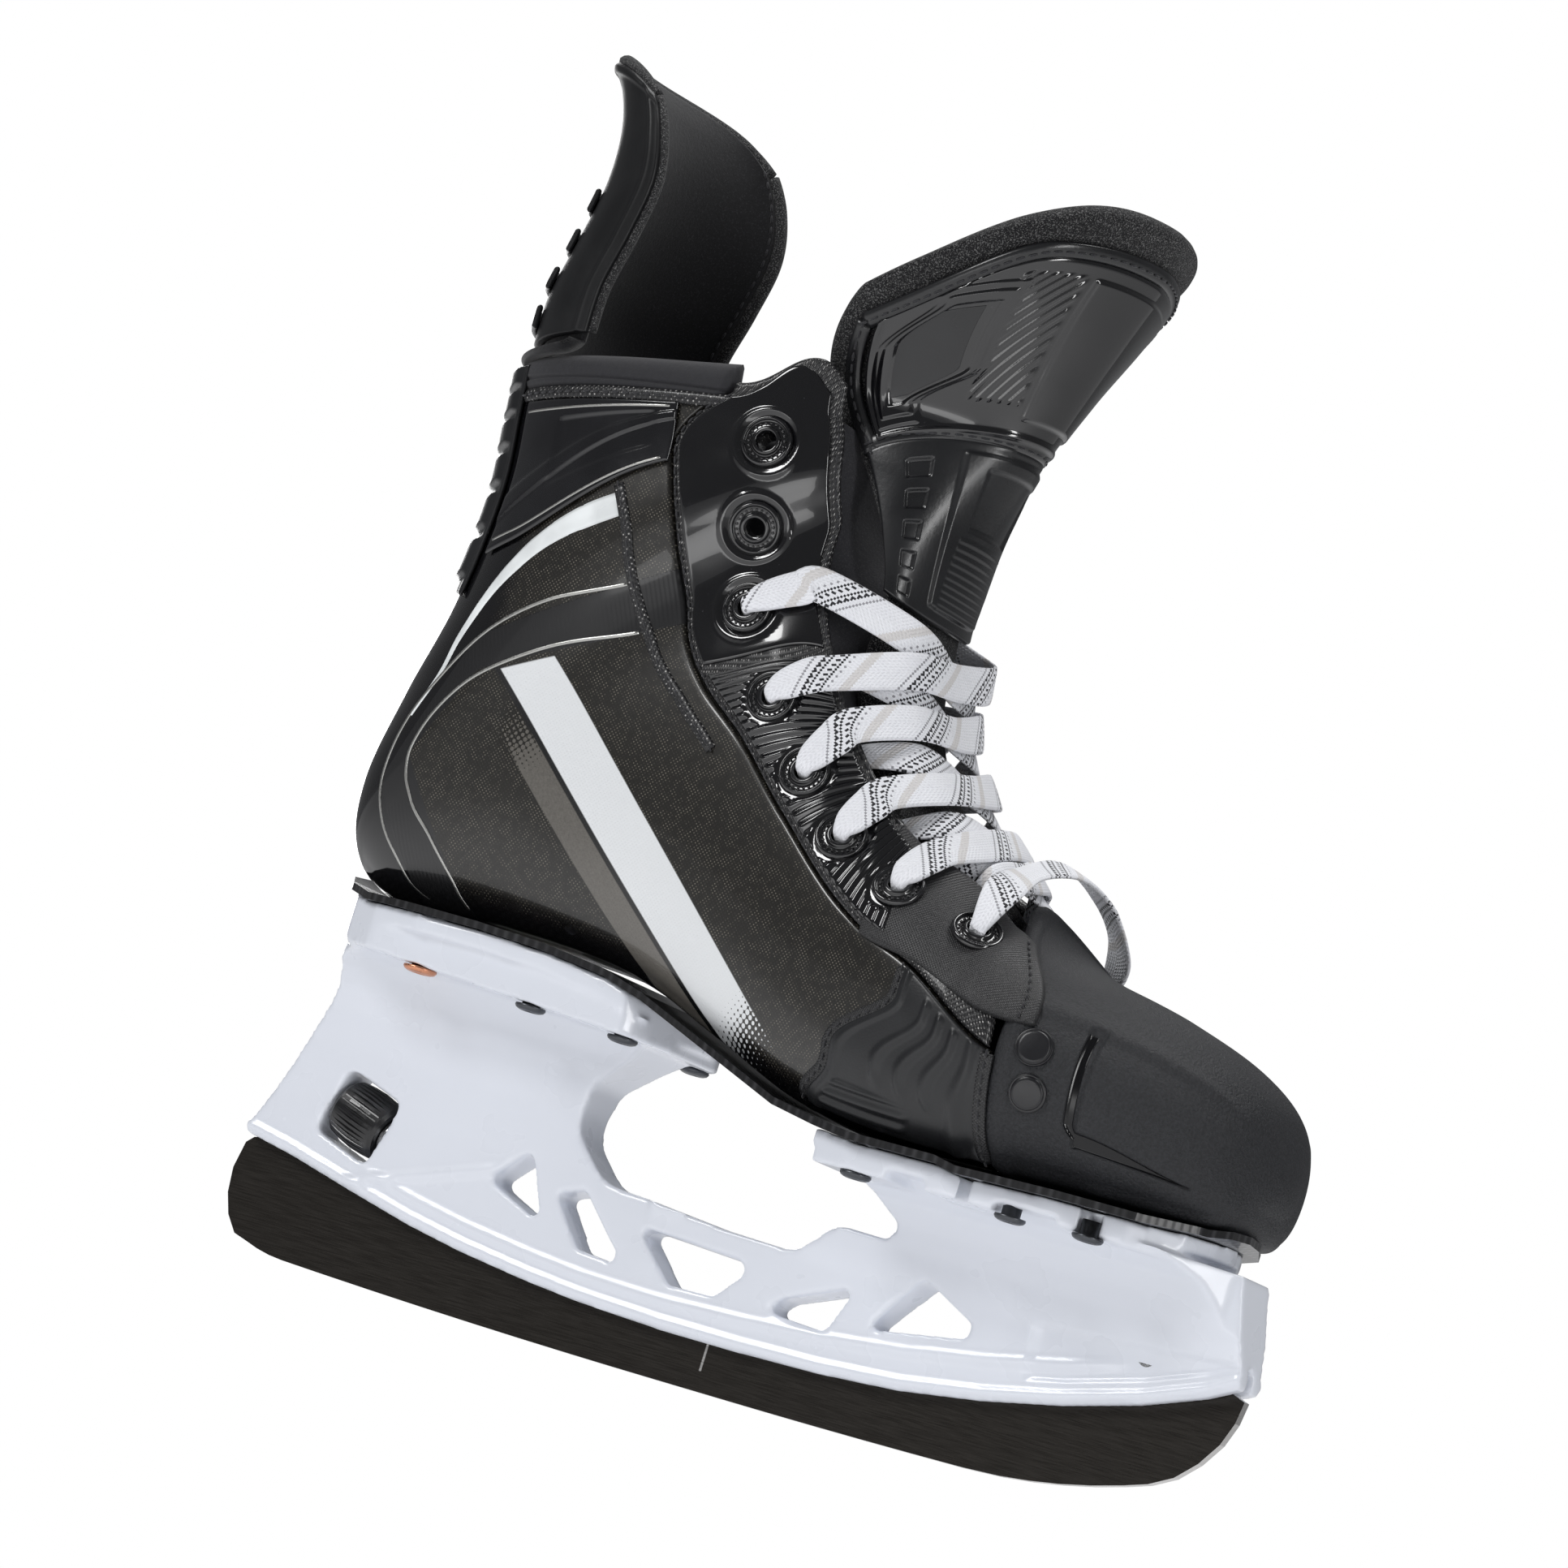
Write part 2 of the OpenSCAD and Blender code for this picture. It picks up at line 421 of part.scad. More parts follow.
module top_eyelet_lateral() color("#0a0a0b") at_eyelet(7, -1) eyelet();
module top_eyelet_medial() color("#0a0a0b") at_eyelet(7, 1) eyelet();

// ---- tongue ----
// Rows of the tongue from the toe up: x and z of the middle, half width, depth. It bends
// at row 4; h is 0 there, 1 at the top and negative on the fixed lower part.
TONGUE = [[54, 133, 23, 17], [39, 146, 25, 20], [24.5, 159, 26, 22], [12.5, 176, 26, 21],
    [8, 196, 25, 15], [8.5, 212, 26, 20], [12, 230, 26, 34], [18, 248, 27, 54],
    [24, 265, 38, 55], [30, 281, 48, 46], [36, 296, 52, 38], [42, 310, 52, 30]];
tongue_flex = 4;
tongue_top = 6.8;
tongue_toe = -3.9 / tongue_top;
// 0 at the bend, growing to 1 down the fixed part
function tongue_low(h) = ease(-h / 0.4);
function tongue0(h, w) = let(k = tongue_low(h),
    f = h * (1 - 0.35 * (1 - k) * pow(abs(w), 2.3)),
    r = row_at(TONGUE, tongue_flex + f * tongue_top),
    a = w * w * (1 - min(max(h, 0), 1)) * (1 - k),
    d = r[3] * pow(abs(w), 1.9 - 0.4 * ease((h - 0.3) / 0.6)))
    [r[0] - d * mix(1, 0.3, k) + 4 * a,
     r[2] * mix(sin(90 * w) * (1 - 0.06 * w * w), 0.94 * w, k),
     r[1] + 5 * a - d * 0.25 * k];
function tongue_n(h, w) = unit(cross(tongue0(h, w + 0.02) - tongue0(h, w - 0.02),
    tongue0(h + 0.02, w) - tongue0(h - 0.02, w)));
function tongue_at(h, w, off) = tongue0(h, w) + off * tongue_n(h, w);
function guard_at(h, w, off) = guard0(h, w) + off * guard_n(h, w);
// Closed sheet between two offsets of the tongue or the guard
module sheet(kind, h0, h1, nh, w0, w1, nw, outer, inner) {
    m = nw + 1;
    k = (nh + 1) * m;
    pts = [for (off = [outer, inner]) for (i = [0 : nh]) for (j = [0 : nw])
        let(h = mix(h0, h1, i / nh), w = mix(w0, w1, j / nw))
        kind == "tongue" ? tongue_at(h, w, off) : guard_at(h, w, off)];
    function quad(a, b, c, d) = [[a, b, c], [a, c, d]];
    faces = [for (i = [0 : nh - 1]) for (j = [0 : nw - 1]) let(a = i * m + j)
            each concat(quad(a, a + m, a + m + 1, a + 1), quad(a + k, a + k + 1, a + k + m + 1, a + k + m)),
        for (i = [0 : nh - 1]) let(a = i * m, b = a + nw)
            each concat(quad(a, a + k, a + m + k, a + m), quad(b + m, b + m + k, b + k, b)),
        for (j = [0 : nw - 1]) let(a = j, b = nh * m + j)
            each concat(quad(a, a + 1, a + 1 + k, a + k), quad(b + 1, b, b + k, b + 1 + k))];
    polyhedron(pts, faces);
}
module tongue_lower() color("#1d1e21") sheet("tongue", tongue_toe, -0.03, 12, -1, 1, 16, -3.1, -5.6);
module tongue_felt() color("#1b1b1e") sheet("tongue", 0.06, 1, 16, -1, 1, 20, -2.6, -6.6);
module tongue_shell() color("#0e0f12") sheet("tongue", 0.42, 0.87, 8, -0.84, 0.84, 18, 0, -2.3);
module tongue_plate() color("#202126") sheet("tongue", 0.05, 0.4, 7, -0.9, 0.9, 14, 0, -2.3);

// ---- tendon guard ----
// Rows of the guard from the collar up: x and z of the back, half width, depth
GUARD = [[-124.5, 242.5, 37, 27], [-124.5, 256, 37.5, 27.5], [-121, 271, 38, 27.5],
    [-117.5, 287, 38.5, 26.5], [-117, 301, 38.5, 23], [-120.5, 312, 37, 21], [-126.5, 320, 35, 20],
    [-133, 327, 33, 20]];
guard_top = 6;
function guard0(h, w) = let(f = h * (1 - 0.19 * pow(abs(w), 2.6)), r = row_at(GUARD, f * guard_top))
    [r[0] + r[3] * pow(abs(1 - cos(90 * w)), 0.9),
     sign(w) * r[2] * pow(abs(sin(90 * w)), 0.8),
     r[1] + 4.5 * w * w * (1 - h)];
function guard_n(h, w) = -unit(cross(guard0(h, w + 0.02) - guard0(h, w - 0.02),
    guard0(h + 0.02, w) - guard0(h - 0.02, w)));
module guard_shell() color("#121316") sheet("guard", 0, 1, 16, 1, -1, 20, 0, -2.2);
module guard_liner() color("#0b0b0d") sheet("guard", 0.01, 0.985, 12, 0.97, -0.97, 16, -2.5, -5.4);
module guard_ribs() color("#0d0e10") for (k = [0 : 3])
    sheet("guard", 0.06 + 0.12 * k, 0.13 + 0.12 * k, 2, 0.45, -0.45, 10, 1.8, 0.25);

// ---- lace ----
// Cross-section of the lace at point p, w wide and th thick, d along the lace and n off the boot
function lace_ring(p, d, n, w, th) = let(b = unit(cross(d, n)), c = unit(cross(b, d)))
    [for (a = [0 : 45 : 315]) p + b * cos(a) * w / 2 + c * sin(a) * th / 2];
module lace_strand(rows) {
    n = len(rows);
    pts = [for (i = [0 : n - 1]) let(d = rows[min(i + 1, n - 1)][0] - rows[max(i - 1, 0)][0])
        each lace_ring(rows[i][0], d, rows[i][1], rows[i][2], rows[i][3])];
    faces = [for (i = [0 : n - 2]) for (j = [0 : 7]) let(a = i * 8 + j, b = i * 8 + (j + 1) % 8)
            each [[a, b, b + 8], [a, b + 8, a + 8]],
        [for (j = [7 : -1 : 0]) j], [for (j = [0 : 7]) (n - 1) * 8 + j]];
    polyhedron(pts, faces);
}
// Rows of a strand: on the boot at f of the way from eyelet i to the throat's edge, at
// offset off; then over the middle of the tongue at h, lift above it
function lace_on(i, side, f, off, w, th, up = 0) = let(s = EYELETS[i][0] + up * f,
    t = side * mix(eyelet_t(i), t_edge(s), f)) [skin(s, t, off), skin_n(s, t), w, th];
function lace_mid(h, side, lift) = [for (k = [-1 : 1])
    let(u = h + 0.03 * k, w = -k * side * mix(0.5, 0.7, tongue_low(h)))
    [tongue_at(u, w, lift + abs(k) * 1.7), tongue_n(u, w), lace_w, lace_t]];
// Half of a strand: up out of eyelet i and over the facing to its edge
function lace_out(i, side, up) = [lace_on(i, side, 0, 0.4, 3.4, 2.8), lace_on(i, side, 0.02, 5.1, 4, 2.2),
    lace_on(i, side, 0.45, 5, lace_w, lace_t, up), lace_on(i, side, 0.95, 3.8, lace_w, lace_t, up)];
// Half of a strand: under the facing's edge to eyelet i and up through it
function lace_in(i, side, up) = [lace_on(i, side, 0.9, -6, 6, 1.2, up), lace_on(i, side, 0.3, -6.6, 5, 1.6),
    lace_on(i, side, 0.02, -6.6, 3.6, 2.6), lace_on(i, side, 0, -0.8, 3.4, 2.8)];
MIDDLES = [-0.5, -0.43, -0.3, -0.18, -0.075];
// How far each strand has moved along the throat when it leaves the facing
UPS = [0, -0.1, -0.1, -0.15, -0.55, -1];
module crossing(i, side, lift) lace_strand(concat(
    i == 0 ? flipped(lace_in(0, side, 0.3)) : lace_out(i, side, UPS[i]),
    lace_mid(MIDDLES[i], side, lift), lace_in(i + 1, -side, -0.3)));
function bar_end(side) = [lace_on(0, side, 0, 0.4, 3.4, 2.8), lace_on(0, side, 0.02, 5.1, 4, 2.2)];
BAR = [[[59.3, -34, 136], [0.3, -0.5, 0.8], lace_w, lace_t],
    [[57.6, -20, 142.5], [0, -0.3, 0.95], lace_w, lace_t], [[59, 0, 148], [0.3, 0, 0.95], lace_w, lace_t],
    [[62, 17, 144], [0.3, 0.1, 0.95], lace_w, lace_t], [[64, 29, 136.5], [0.5, 0.4, 0.75], lace_w, lace_t]];
module lace() color("white") {
    for (i = [0 : 3]) {
        crossing(i, -1, 4.6);
        crossing(i, 1, 2.4);
    }
    crossing(4, -1, 4.8);
    // last strand goes over the facing into the outside of the sixth eyelet
    lace_strand(concat(lace_out(4, 1, UPS[4]), lace_mid(MIDDLES[4], 1, 2.4), flipped(lace_out(5, -1, UPS[5]))));
    // bar over the throat between the first pair of eyelets
    lace_strand(concat(bar_end(-1), BAR, flipped(bar_end(1))));
    // ends, tucked down inside the boot
    for (side = [-1, 1]) lace_strand(tucked(side));
}
// Rows below the sixth eyelet: depth inside, drop, width and thickness
TUCK = [[0.2, 0, 3.6, 3], [-4.6, 0, 3.6, 3], [-8, 4, 5, 2], [-11, 14, 6, 1.6], [-14, 28, 6, 1.6],
    [-16, 44, 6, 1.6], [-17, 57, 4, 2]];
function tucked(side) = let(p = eyelet_at(5, side, 0), q = eyelet_n(5, side))
    [for (r = TUCK) [p + q * r[0] + [-r[1] * 0.25, 0, -r[1]], q, r[2], r[3]]];
module lace_tips() color("#222222") for (side = [-1, 1])
    let(r = tucked(side), a = r[6][0], d = unit(a - r[5][0]))
        along(a + d * 0.1, d) cylinder(r = 1.6, h = 15);

holder();
runner();
front_hook_pin();
dial();
dial_washers();
drawbolt();
outsole();
front_rivets();
rear_rivets();
copper_rivets();
quarter_shell();
ankle_liner();
footbed();
toe_cap();
toe_liner();
toe_cap_studs();
forefoot_overlay_lateral();
forefoot_overlay_medial();
ankle_badge_lateral();
ankle_badge_medial();
facing_lateral();
facing_medial();
eyelets_lateral();
eyelets_medial();
top_eyelet_lateral();
top_eyelet_medial();
heel_spine();
collar_padding();
tongue_lower();
tongue_felt();
tongue_shell();
tongue_plate();
guard_shell();
guard_liner();
guard_ribs();
lace();
lace_tips();
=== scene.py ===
"""Looks of an ice hockey skate for the right foot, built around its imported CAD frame.

Shapes are worked out in millimetres on the boot's own surfaces, which repeat the CAD
formulas, and are scaled to metres when a mesh is made.
"""
import math

import bmesh
import bpy
import numpy as np
from mathutils import Matrix, Vector


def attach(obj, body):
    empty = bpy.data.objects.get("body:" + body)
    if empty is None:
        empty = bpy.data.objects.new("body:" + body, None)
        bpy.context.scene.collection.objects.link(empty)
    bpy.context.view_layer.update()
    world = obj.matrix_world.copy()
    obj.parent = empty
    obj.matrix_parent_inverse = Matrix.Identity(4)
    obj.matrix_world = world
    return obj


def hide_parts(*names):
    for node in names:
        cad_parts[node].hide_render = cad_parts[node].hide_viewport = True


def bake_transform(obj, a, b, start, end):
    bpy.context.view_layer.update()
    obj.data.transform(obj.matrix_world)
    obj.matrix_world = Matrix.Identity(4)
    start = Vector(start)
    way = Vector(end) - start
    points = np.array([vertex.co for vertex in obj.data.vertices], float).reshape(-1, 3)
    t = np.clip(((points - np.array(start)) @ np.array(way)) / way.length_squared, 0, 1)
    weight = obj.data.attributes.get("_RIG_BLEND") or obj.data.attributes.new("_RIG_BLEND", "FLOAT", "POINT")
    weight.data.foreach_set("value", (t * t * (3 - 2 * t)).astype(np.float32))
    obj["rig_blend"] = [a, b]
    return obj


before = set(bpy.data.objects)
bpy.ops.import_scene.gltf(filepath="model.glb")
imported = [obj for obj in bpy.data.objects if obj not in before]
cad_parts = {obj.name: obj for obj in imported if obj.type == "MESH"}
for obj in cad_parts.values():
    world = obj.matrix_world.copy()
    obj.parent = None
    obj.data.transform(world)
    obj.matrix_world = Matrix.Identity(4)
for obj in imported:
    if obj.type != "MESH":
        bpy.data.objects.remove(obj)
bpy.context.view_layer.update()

MM = 0.001
SIDES = {"lateral": -1, "medial": 1}

# -------------------------------------------------- camera and lights
VIEW_AZIMUTH, VIEW_ELEVATION, VIEW_ROLL = 28.0, -6.0, 17.15
VIEW_DISTANCE = 1800.0
SENSOR = 36.0
LENS = 165.9
# The camera aims at a point near the middle of the boot, in its own right and up directions
AIM_RIGHT, AIM_UP = -21.8, 10.7
MIDDLE = np.array([0.0, 0.0, 140.0])

# Soft boxes: name, place in metres, width and height, and power in watts
LIGHTS = [("key", (-0.9, -1.5, 1.3), (0.6, 0.75), 20), ("side", (1.7, -0.7, 0.5), (0.2, 1.3), 10),
          ("top", (0.1, 0.3, 1.6), (1.3, 0.35), 15), ("rear", (-1.2, 1.4, 0.6), (0.6, 1.2), 9),
          ("low", (0.2, -1.5, -0.3), (1.5, 0.25), 2.6)]
LIGHT_TARGET = (0, 0, 0.15)
WORLD_STRENGTH, BACKDROP_STRENGTH = 0.15, 1.0
FLOOR_Z, FLOOR_HALF, FLOOR_GLOW = -0.42, 6.0, 0.22


def view_axes():
    """Directions from the object to the camera, to the right and up, without the roll."""
    a, e = math.radians(VIEW_AZIMUTH), math.radians(VIEW_ELEVATION)
    back = np.array([math.sin(a) * math.cos(e), -math.cos(a) * math.cos(e), math.sin(e)])
    right = np.array([math.cos(a), math.sin(a), 0.0])
    return back, right, np.cross(back, right)


def make_camera():
    back, right, up = view_axes()
    roll = math.radians(VIEW_ROLL)
    x = math.cos(roll) * right + math.sin(roll) * up
    y = -math.sin(roll) * right + math.cos(roll) * up
    place = (MIDDLE + AIM_RIGHT * right + AIM_UP * up + VIEW_DISTANCE * back) * MM
    data = bpy.data.cameras.new("camera")
    data.sensor_width = SENSOR
    data.lens = LENS
    data.clip_start, data.clip_end = 0.05, 50
    camera = bpy.data.objects.new("camera", data)
    bpy.context.scene.collection.objects.link(camera)
    turned = [[x[k], y[k], back[k], place[k]] for k in range(3)]
    camera.matrix_world = Matrix(turned + [[0, 0, 0, 1]])
    bpy.context.scene.camera = camera
    bpy.context.scene.view_settings.view_transform = "Standard"


def area_light(name, place, size, power):
    data = bpy.data.lights.new(name, "AREA")
    data.shape = "RECTANGLE"
    data.size, data.size_y = size
    data.energy = power
    light = bpy.data.objects.new(name, data)
    bpy.context.scene.collection.objects.link(light)
    light.location = place
    light.rotation_mode = "QUATERNION"
    away = Vector(place) - Vector(LIGHT_TARGET)
    light.rotation_quaternion = away.to_track_quat("Z", "Y")


def make_stage():
    """Soft boxes, a white backdrop, dim light from all round and a pale floor far below."""
    for light in LIGHTS:
        area_light(*light)
    world = bpy.data.worlds.new("studio")
    world.use_nodes = True
    nodes, links = world.node_tree.nodes, world.node_tree.links
    nodes["Background"].inputs["Color"].default_value = (0.93, 0.94, 0.96, 1)
    nodes["Background"].inputs["Strength"].default_value = WORLD_STRENGTH
    backdrop = nodes.new("ShaderNodeBackground")
    backdrop.inputs["Color"].default_value = (1, 1, 1, 1)
    backdrop.inputs["Strength"].default_value = BACKDROP_STRENGTH
    either = nodes.new("ShaderNodeMixShader")
    links.new(nodes.new("ShaderNodeLightPath").outputs["Is Camera Ray"], either.inputs[0])
    links.new(nodes["Background"].outputs[0], either.inputs[1])
    links.new(backdrop.outputs[0], either.inputs[2])
    links.new(either.outputs[0], nodes["World Output"].inputs["Surface"])
    bpy.context.scene.world = world
    mesh = bpy.data.meshes.new("floor")
    corners = ((-1, -1), (1, -1), (1, 1), (-1, 1))
    mesh.from_pydata([(x * FLOOR_HALF, y * FLOOR_HALF, FLOOR_Z) for x, y in corners],
                     [], [(0, 1, 2, 3)])
    floor = bpy.data.objects.new("floor", mesh)
    bpy.context.scene.collection.objects.link(floor)
    pale = Finish("floor_paper", (0.86, 0.86, 0.87), 0.9)
    pale.set("Emission Color", (1.0, 1.0, 1.0))
    pale.set("Emission Strength", FLOOR_GLOW)
    pale.bump(pale.noise(0.02, 3), 0.05)
    mesh.materials.append(pale.material)


# -------------------------------------------------- small maths
def ease(x):
    c = np.clip(x, 0, 1)
    return c * c * (3 - 2 * c)


def mix(a, b, f):
    return a + (b - a) * f


def hump(x, middle, half):
    """Smooth rise to 1 at middle, 0 beyond half on each side."""
    return ease(1 - np.abs(x - middle) / half)


def band(x, low, high, soft):
    """1 between low and high, with soft flanks outside them."""
    return ease((x - low) / soft + 1) * ease((high - x) / soft + 1)


def unit(v):
    return v / np.maximum(np.linalg.norm(v, axis=-1, keepdims=True), 1e-12)


def row_at(table, s):
    """Row of a table at the fractional index s, on a smooth curve through the rows."""
    table, s = np.asarray(table, float), np.asarray(s, float)
    last = len(table) - 1
    i = np.clip(np.floor(s).astype(int), 0, last - 1)
    f = (s - i)[..., None]
    a, b, c, d = (table[np.clip(i + k, 0, last)] for k in (-1, 0, 1, 2))
    return 0.5 * (2 * b + (c - a) * f + (2 * a - 5 * b + 4 * c - d) * f**2
                  + (3 * b - a - 3 * c + d) * f**3)


def resample(rows, per_row):
    """Rows with per_row steps between each pair, on the same smooth curve."""
    return row_at(rows, np.linspace(0, len(rows) - 1, (len(rows) - 1) * per_row + 1))


# -------------------------------------------------- boot surface, as in the CAD
# Cross-sections from the toe (0) round the heel to the collar (18): sole or heel point,
# instep point, half width, shift, and roundness at the sole and at the instep.
SECTIONS = [
    [133, 80, 133.5, 93, 12, 5, 0.5, 0.6],
    [129, 73, 128, 104.5, 26, 5, 0.45, 0.6],
    [117, 71.5, 115.5, 113, 37, 4, 0.4, 0.62],
    [98, 71, 97, 119.5, 44.5, 2, 0.4, 0.66],
    [70, 70, 69, 127, 48.5, 0, 0.4, 0.8],
    [42, 70, 44, 147, 47, 0, 0.4, 1.3],
    [16, 74, 22, 163, 42, 0, 0.4, 1.2],
    [-12, 84, 4, 185, 38.5, 0, 0.42, 0.75],
    [-42, 94, -6, 203, 37, 0, 0.45, 0.5],
    [-80, 97, -8.5, 211, 36, 0, 0.5, 0.4],
    [-115, 97.5, -10, 217, 35.5, 0, 0.6, 0.36],
    [-131, 106, -11, 221, 36, 0, 0.68, 0.34],
    [-135.5, 122, -12, 225, 37.5, 0, 0.72, 0.32],
    [-131, 145, -13, 229, 39.5, 0, 0.72, 0.3],
    [-124, 171, -14, 233, 41, 0, 0.7, 0.3],
    [-121.5, 200, -15.5, 237, 40.5, 0, 0.7, 0.3],
    [-123.5, 222, -17, 240, 40.5, 0, 0.7, 0.3],
    [-125, 237, -18, 243, 41, 0, 0.7, 0.3],
    [-126.5, 250, -19.5, 256, 41.5, 0, 0.7, 0.3]]
TOE_END, SHELL_TOP, COLLAR_TOP = 3.77, 16.3, 17.1
SHELL_FRONT = TOE_END + 0.03


def skin0(s, t):
    r = np.moveaxis(row_at(SECTIONS, s), -1, 0)
    w = np.where(t > 1, t - 2, np.where(t < -1, t + 2, t))
    a = math.pi * np.abs(w)
    v = (1 - np.cos(a)) / 2
    p = mix(r[6], r[7], ease((np.abs(w) - 0.3) / 0.4))
    y = r[5] + np.sign(w) * r[4] * np.maximum(np.sin(a), 0) ** p
    return np.stack([mix(r[0], r[2], v), y, mix(r[1], r[3], v)], -1)


def skin_n(s, t):
    return unit(np.cross(skin0(s + 0.02, t) - skin0(s - 0.02, t),
                         skin0(s, t + 0.01) - skin0(s, t - 0.01)))


def skin(s, t, off):
    """Point on the boot: s along the sections, t from -1 (outer side) through 0 (sole) to 1."""
    s, t = np.broadcast_arrays(np.asarray(s, float), np.asarray(t, float))
    return skin0(s, t) + np.asarray(off, float)[..., None] * skin_n(s, t)


def t_edge(s):
    return 0.745 + 0.12 * ease((s - 6.3) / 5) + 0.1 * ease((5.6 - s) / 1.5)


def t_back(s, w):
    """t of the line that lies w mm behind the throat's edge."""
    r = np.moveaxis(row_at(SECTIONS, s), -1, 0)
    length = np.hypot(r[2] - r[0], r[3] - r[1])
    v = (1 - np.cos(math.pi * t_edge(s))) / 2 - w / length
    return np.arccos(np.clip(1 - 2 * v, -1, 1)) / math.pi


def facing_width(s):
    return mix(25.0, 43.0, ease((s - 5.3) / 5)) - 16 * ease((s - 15) / 2.1)


def facing_back(s, d=0.0):
    return t_back(s, facing_width(s) + d)


def toe_end_at(t, limit=5.0):
    return np.minimum(TOE_END + 0.8 * ease((np.abs(t) - 0.55) / 0.45) ** 2, limit)


# Rows of the tongue from the toe up: x and z of the middle, half width and depth
TONGUE = [[54, 133, 23, 17], [39, 146, 25, 20], [24.5, 159, 26, 22], [12.5, 176, 26, 21],
          [8, 196, 25, 15], [8.5, 212, 26, 20], [12, 230, 26, 34], [18, 248, 27, 54],
          [24, 265, 38, 55], [30, 281, 48, 46], [36, 296, 52, 38], [42, 310, 52, 30]]
TONGUE_FLEX, TONGUE_TOP = 4, 6.8
TONGUE_TOE = -3.9 / TONGUE_TOP
# Rows of the tendon guard from the collar up: x and z of the back, half width and depth
GUARD = [[-124.5, 242.5, 37, 27], [-124.5, 256, 37.5, 27.5], [-121, 271, 38, 27.5],
         [-117.5, 287, 38.5, 26.5], [-117, 301, 38.5, 23], [-120.5, 312, 37, 21],
         [-126.5, 320, 35, 20], [-133, 327, 33, 20]]
GUARD_TOP = 6


def tongue0(h, w):
    low, a = ease(-h / 0.4), np.abs(w)
    f = h * (1 - 0.35 * (1 - low) * a ** 2.3)
    r = np.moveaxis(row_at(TONGUE, TONGUE_FLEX + f * TONGUE_TOP), -1, 0)
    lift = a * a * (1 - np.clip(h, 0, 1)) * (1 - low)
    depth = r[3] * a ** (1.9 - 0.4 * ease((h - 0.3) / 0.6))
    return np.stack([r[0] - depth * mix(1, 0.3, low) + 4 * lift,
                     r[2] * mix(np.sin(math.pi / 2 * w) * (1 - 0.06 * w * w), 0.94 * w, low),
                     r[1] + 5 * lift - 0.25 * depth * low], -1)


def guard0(h, w):
    r = np.moveaxis(row_at(GUARD, h * (1 - 0.19 * np.abs(w) ** 2.6) * GUARD_TOP), -1, 0)
    a = math.pi / 2 * w
    return np.stack([r[0] + r[3] * np.abs(1 - np.cos(a)) ** 0.9,
                     np.sign(w) * r[2] * np.abs(np.sin(a)) ** 0.8,
                     r[1] + 4.5 * w * w * (1 - h)], -1)


def off_surface(place0, sign):
    """Function of two surface coordinates and an offset along the outward normal."""
    def place(h, w, off):
        h, w = np.broadcast_arrays(np.asarray(h, float), np.asarray(w, float))
        n = unit(np.cross(place0(h, w + 0.02) - place0(h, w - 0.02),
                          place0(h + 0.02, w) - place0(h - 0.02, w)))
        return place0(h, w) + sign * np.asarray(off, float)[..., None] * n
    return place


tongue = off_surface(tongue0, 1)
guard = off_surface(guard0, -1)


def over(surface, coords, side=1):
    """Placing function of a piece whose coords(u, v) gives its coordinates on a surface."""
    def place(u, v, off):
        a, b = coords(u, v)
        return surface(a, side * b, off)
    return place


def round_boot(section, d):
    """Coordinates of a piece round the boot, up to d mm behind the back of each facing."""
    def coords(u, v):
        s = section(u, v)
        return s, (2 * v - 1) * facing_back(s, d)
    return coords


# -------------------------------------------------- meshes
def make(name, points, faces, finish, flat=None, place=None):
    """Smooth mesh from points in mm, with the material of a key of FINISH.

    flat and place are values per point for that material.
    """
    mesh = bpy.data.meshes.new(name)
    mesh.from_pydata((np.asarray(points, float) * MM).tolist(), [], faces)
    for key, values in (("flat", flat), ("place", place)):
        if values is not None:
            layer = mesh.attributes.new(key, "FLOAT_VECTOR", "POINT")
            layer.data.foreach_set("vector", np.asarray(values, np.float32).ravel())
    work = bmesh.new()
    work.from_mesh(mesh)
    bmesh.ops.recalc_face_normals(work, faces=work.faces)
    work.to_mesh(mesh)
    work.free()
    mesh.shade_smooth()
    mesh.materials.append(FINISH[finish].material)
    piece = bpy.data.objects.new(name, mesh)
    bpy.context.scene.collection.objects.link(piece)
    return piece


def quads(index, wrap=False):
    """Faces over a 2-D array of point numbers."""
    if wrap:
        index = np.concatenate([index, index[:, :1]], axis=1)
    corners = [index[:-1, :-1], index[:-1, 1:], index[1:, 1:], index[1:, :-1]]
    return np.stack(corners, -1).reshape(-1, 4).tolist()


def fan(tip, loop):
    """Triangles from a closed loop of point numbers to a tip."""
    return [[tip, int(a), int(b)] for a, b in zip(loop, np.roll(loop, -1))]


def turn(count):
    """Angles of equal steps once round."""
    return np.linspace(0, 2 * math.pi, count, endpoint=False)


def comb(x, pitch):
    """Round ridges from 0 to 1, pitch apart."""
    return 0.5 + 0.5 * np.cos(2 * math.pi * x / pitch)


def spread(count, length, rim):
    """Places from 0 to 1 that crowd together within rim mm of both ends."""
    r = min(rim / length, 0.4)
    edge = r * np.array([0, 0.12, 0.38, 0.68])
    return np.concatenate([edge, np.linspace(r, 1 - r, count), 1 - edge[::-1]])


def path_lengths(points, axis):
    step = np.linalg.norm(np.diff(points, axis=axis), axis=-1)
    pad = [(1, 0), (0, 0)] if axis == 0 else [(0, 0), (1, 0)]
    return np.cumsum(np.pad(step, pad), axis=axis)


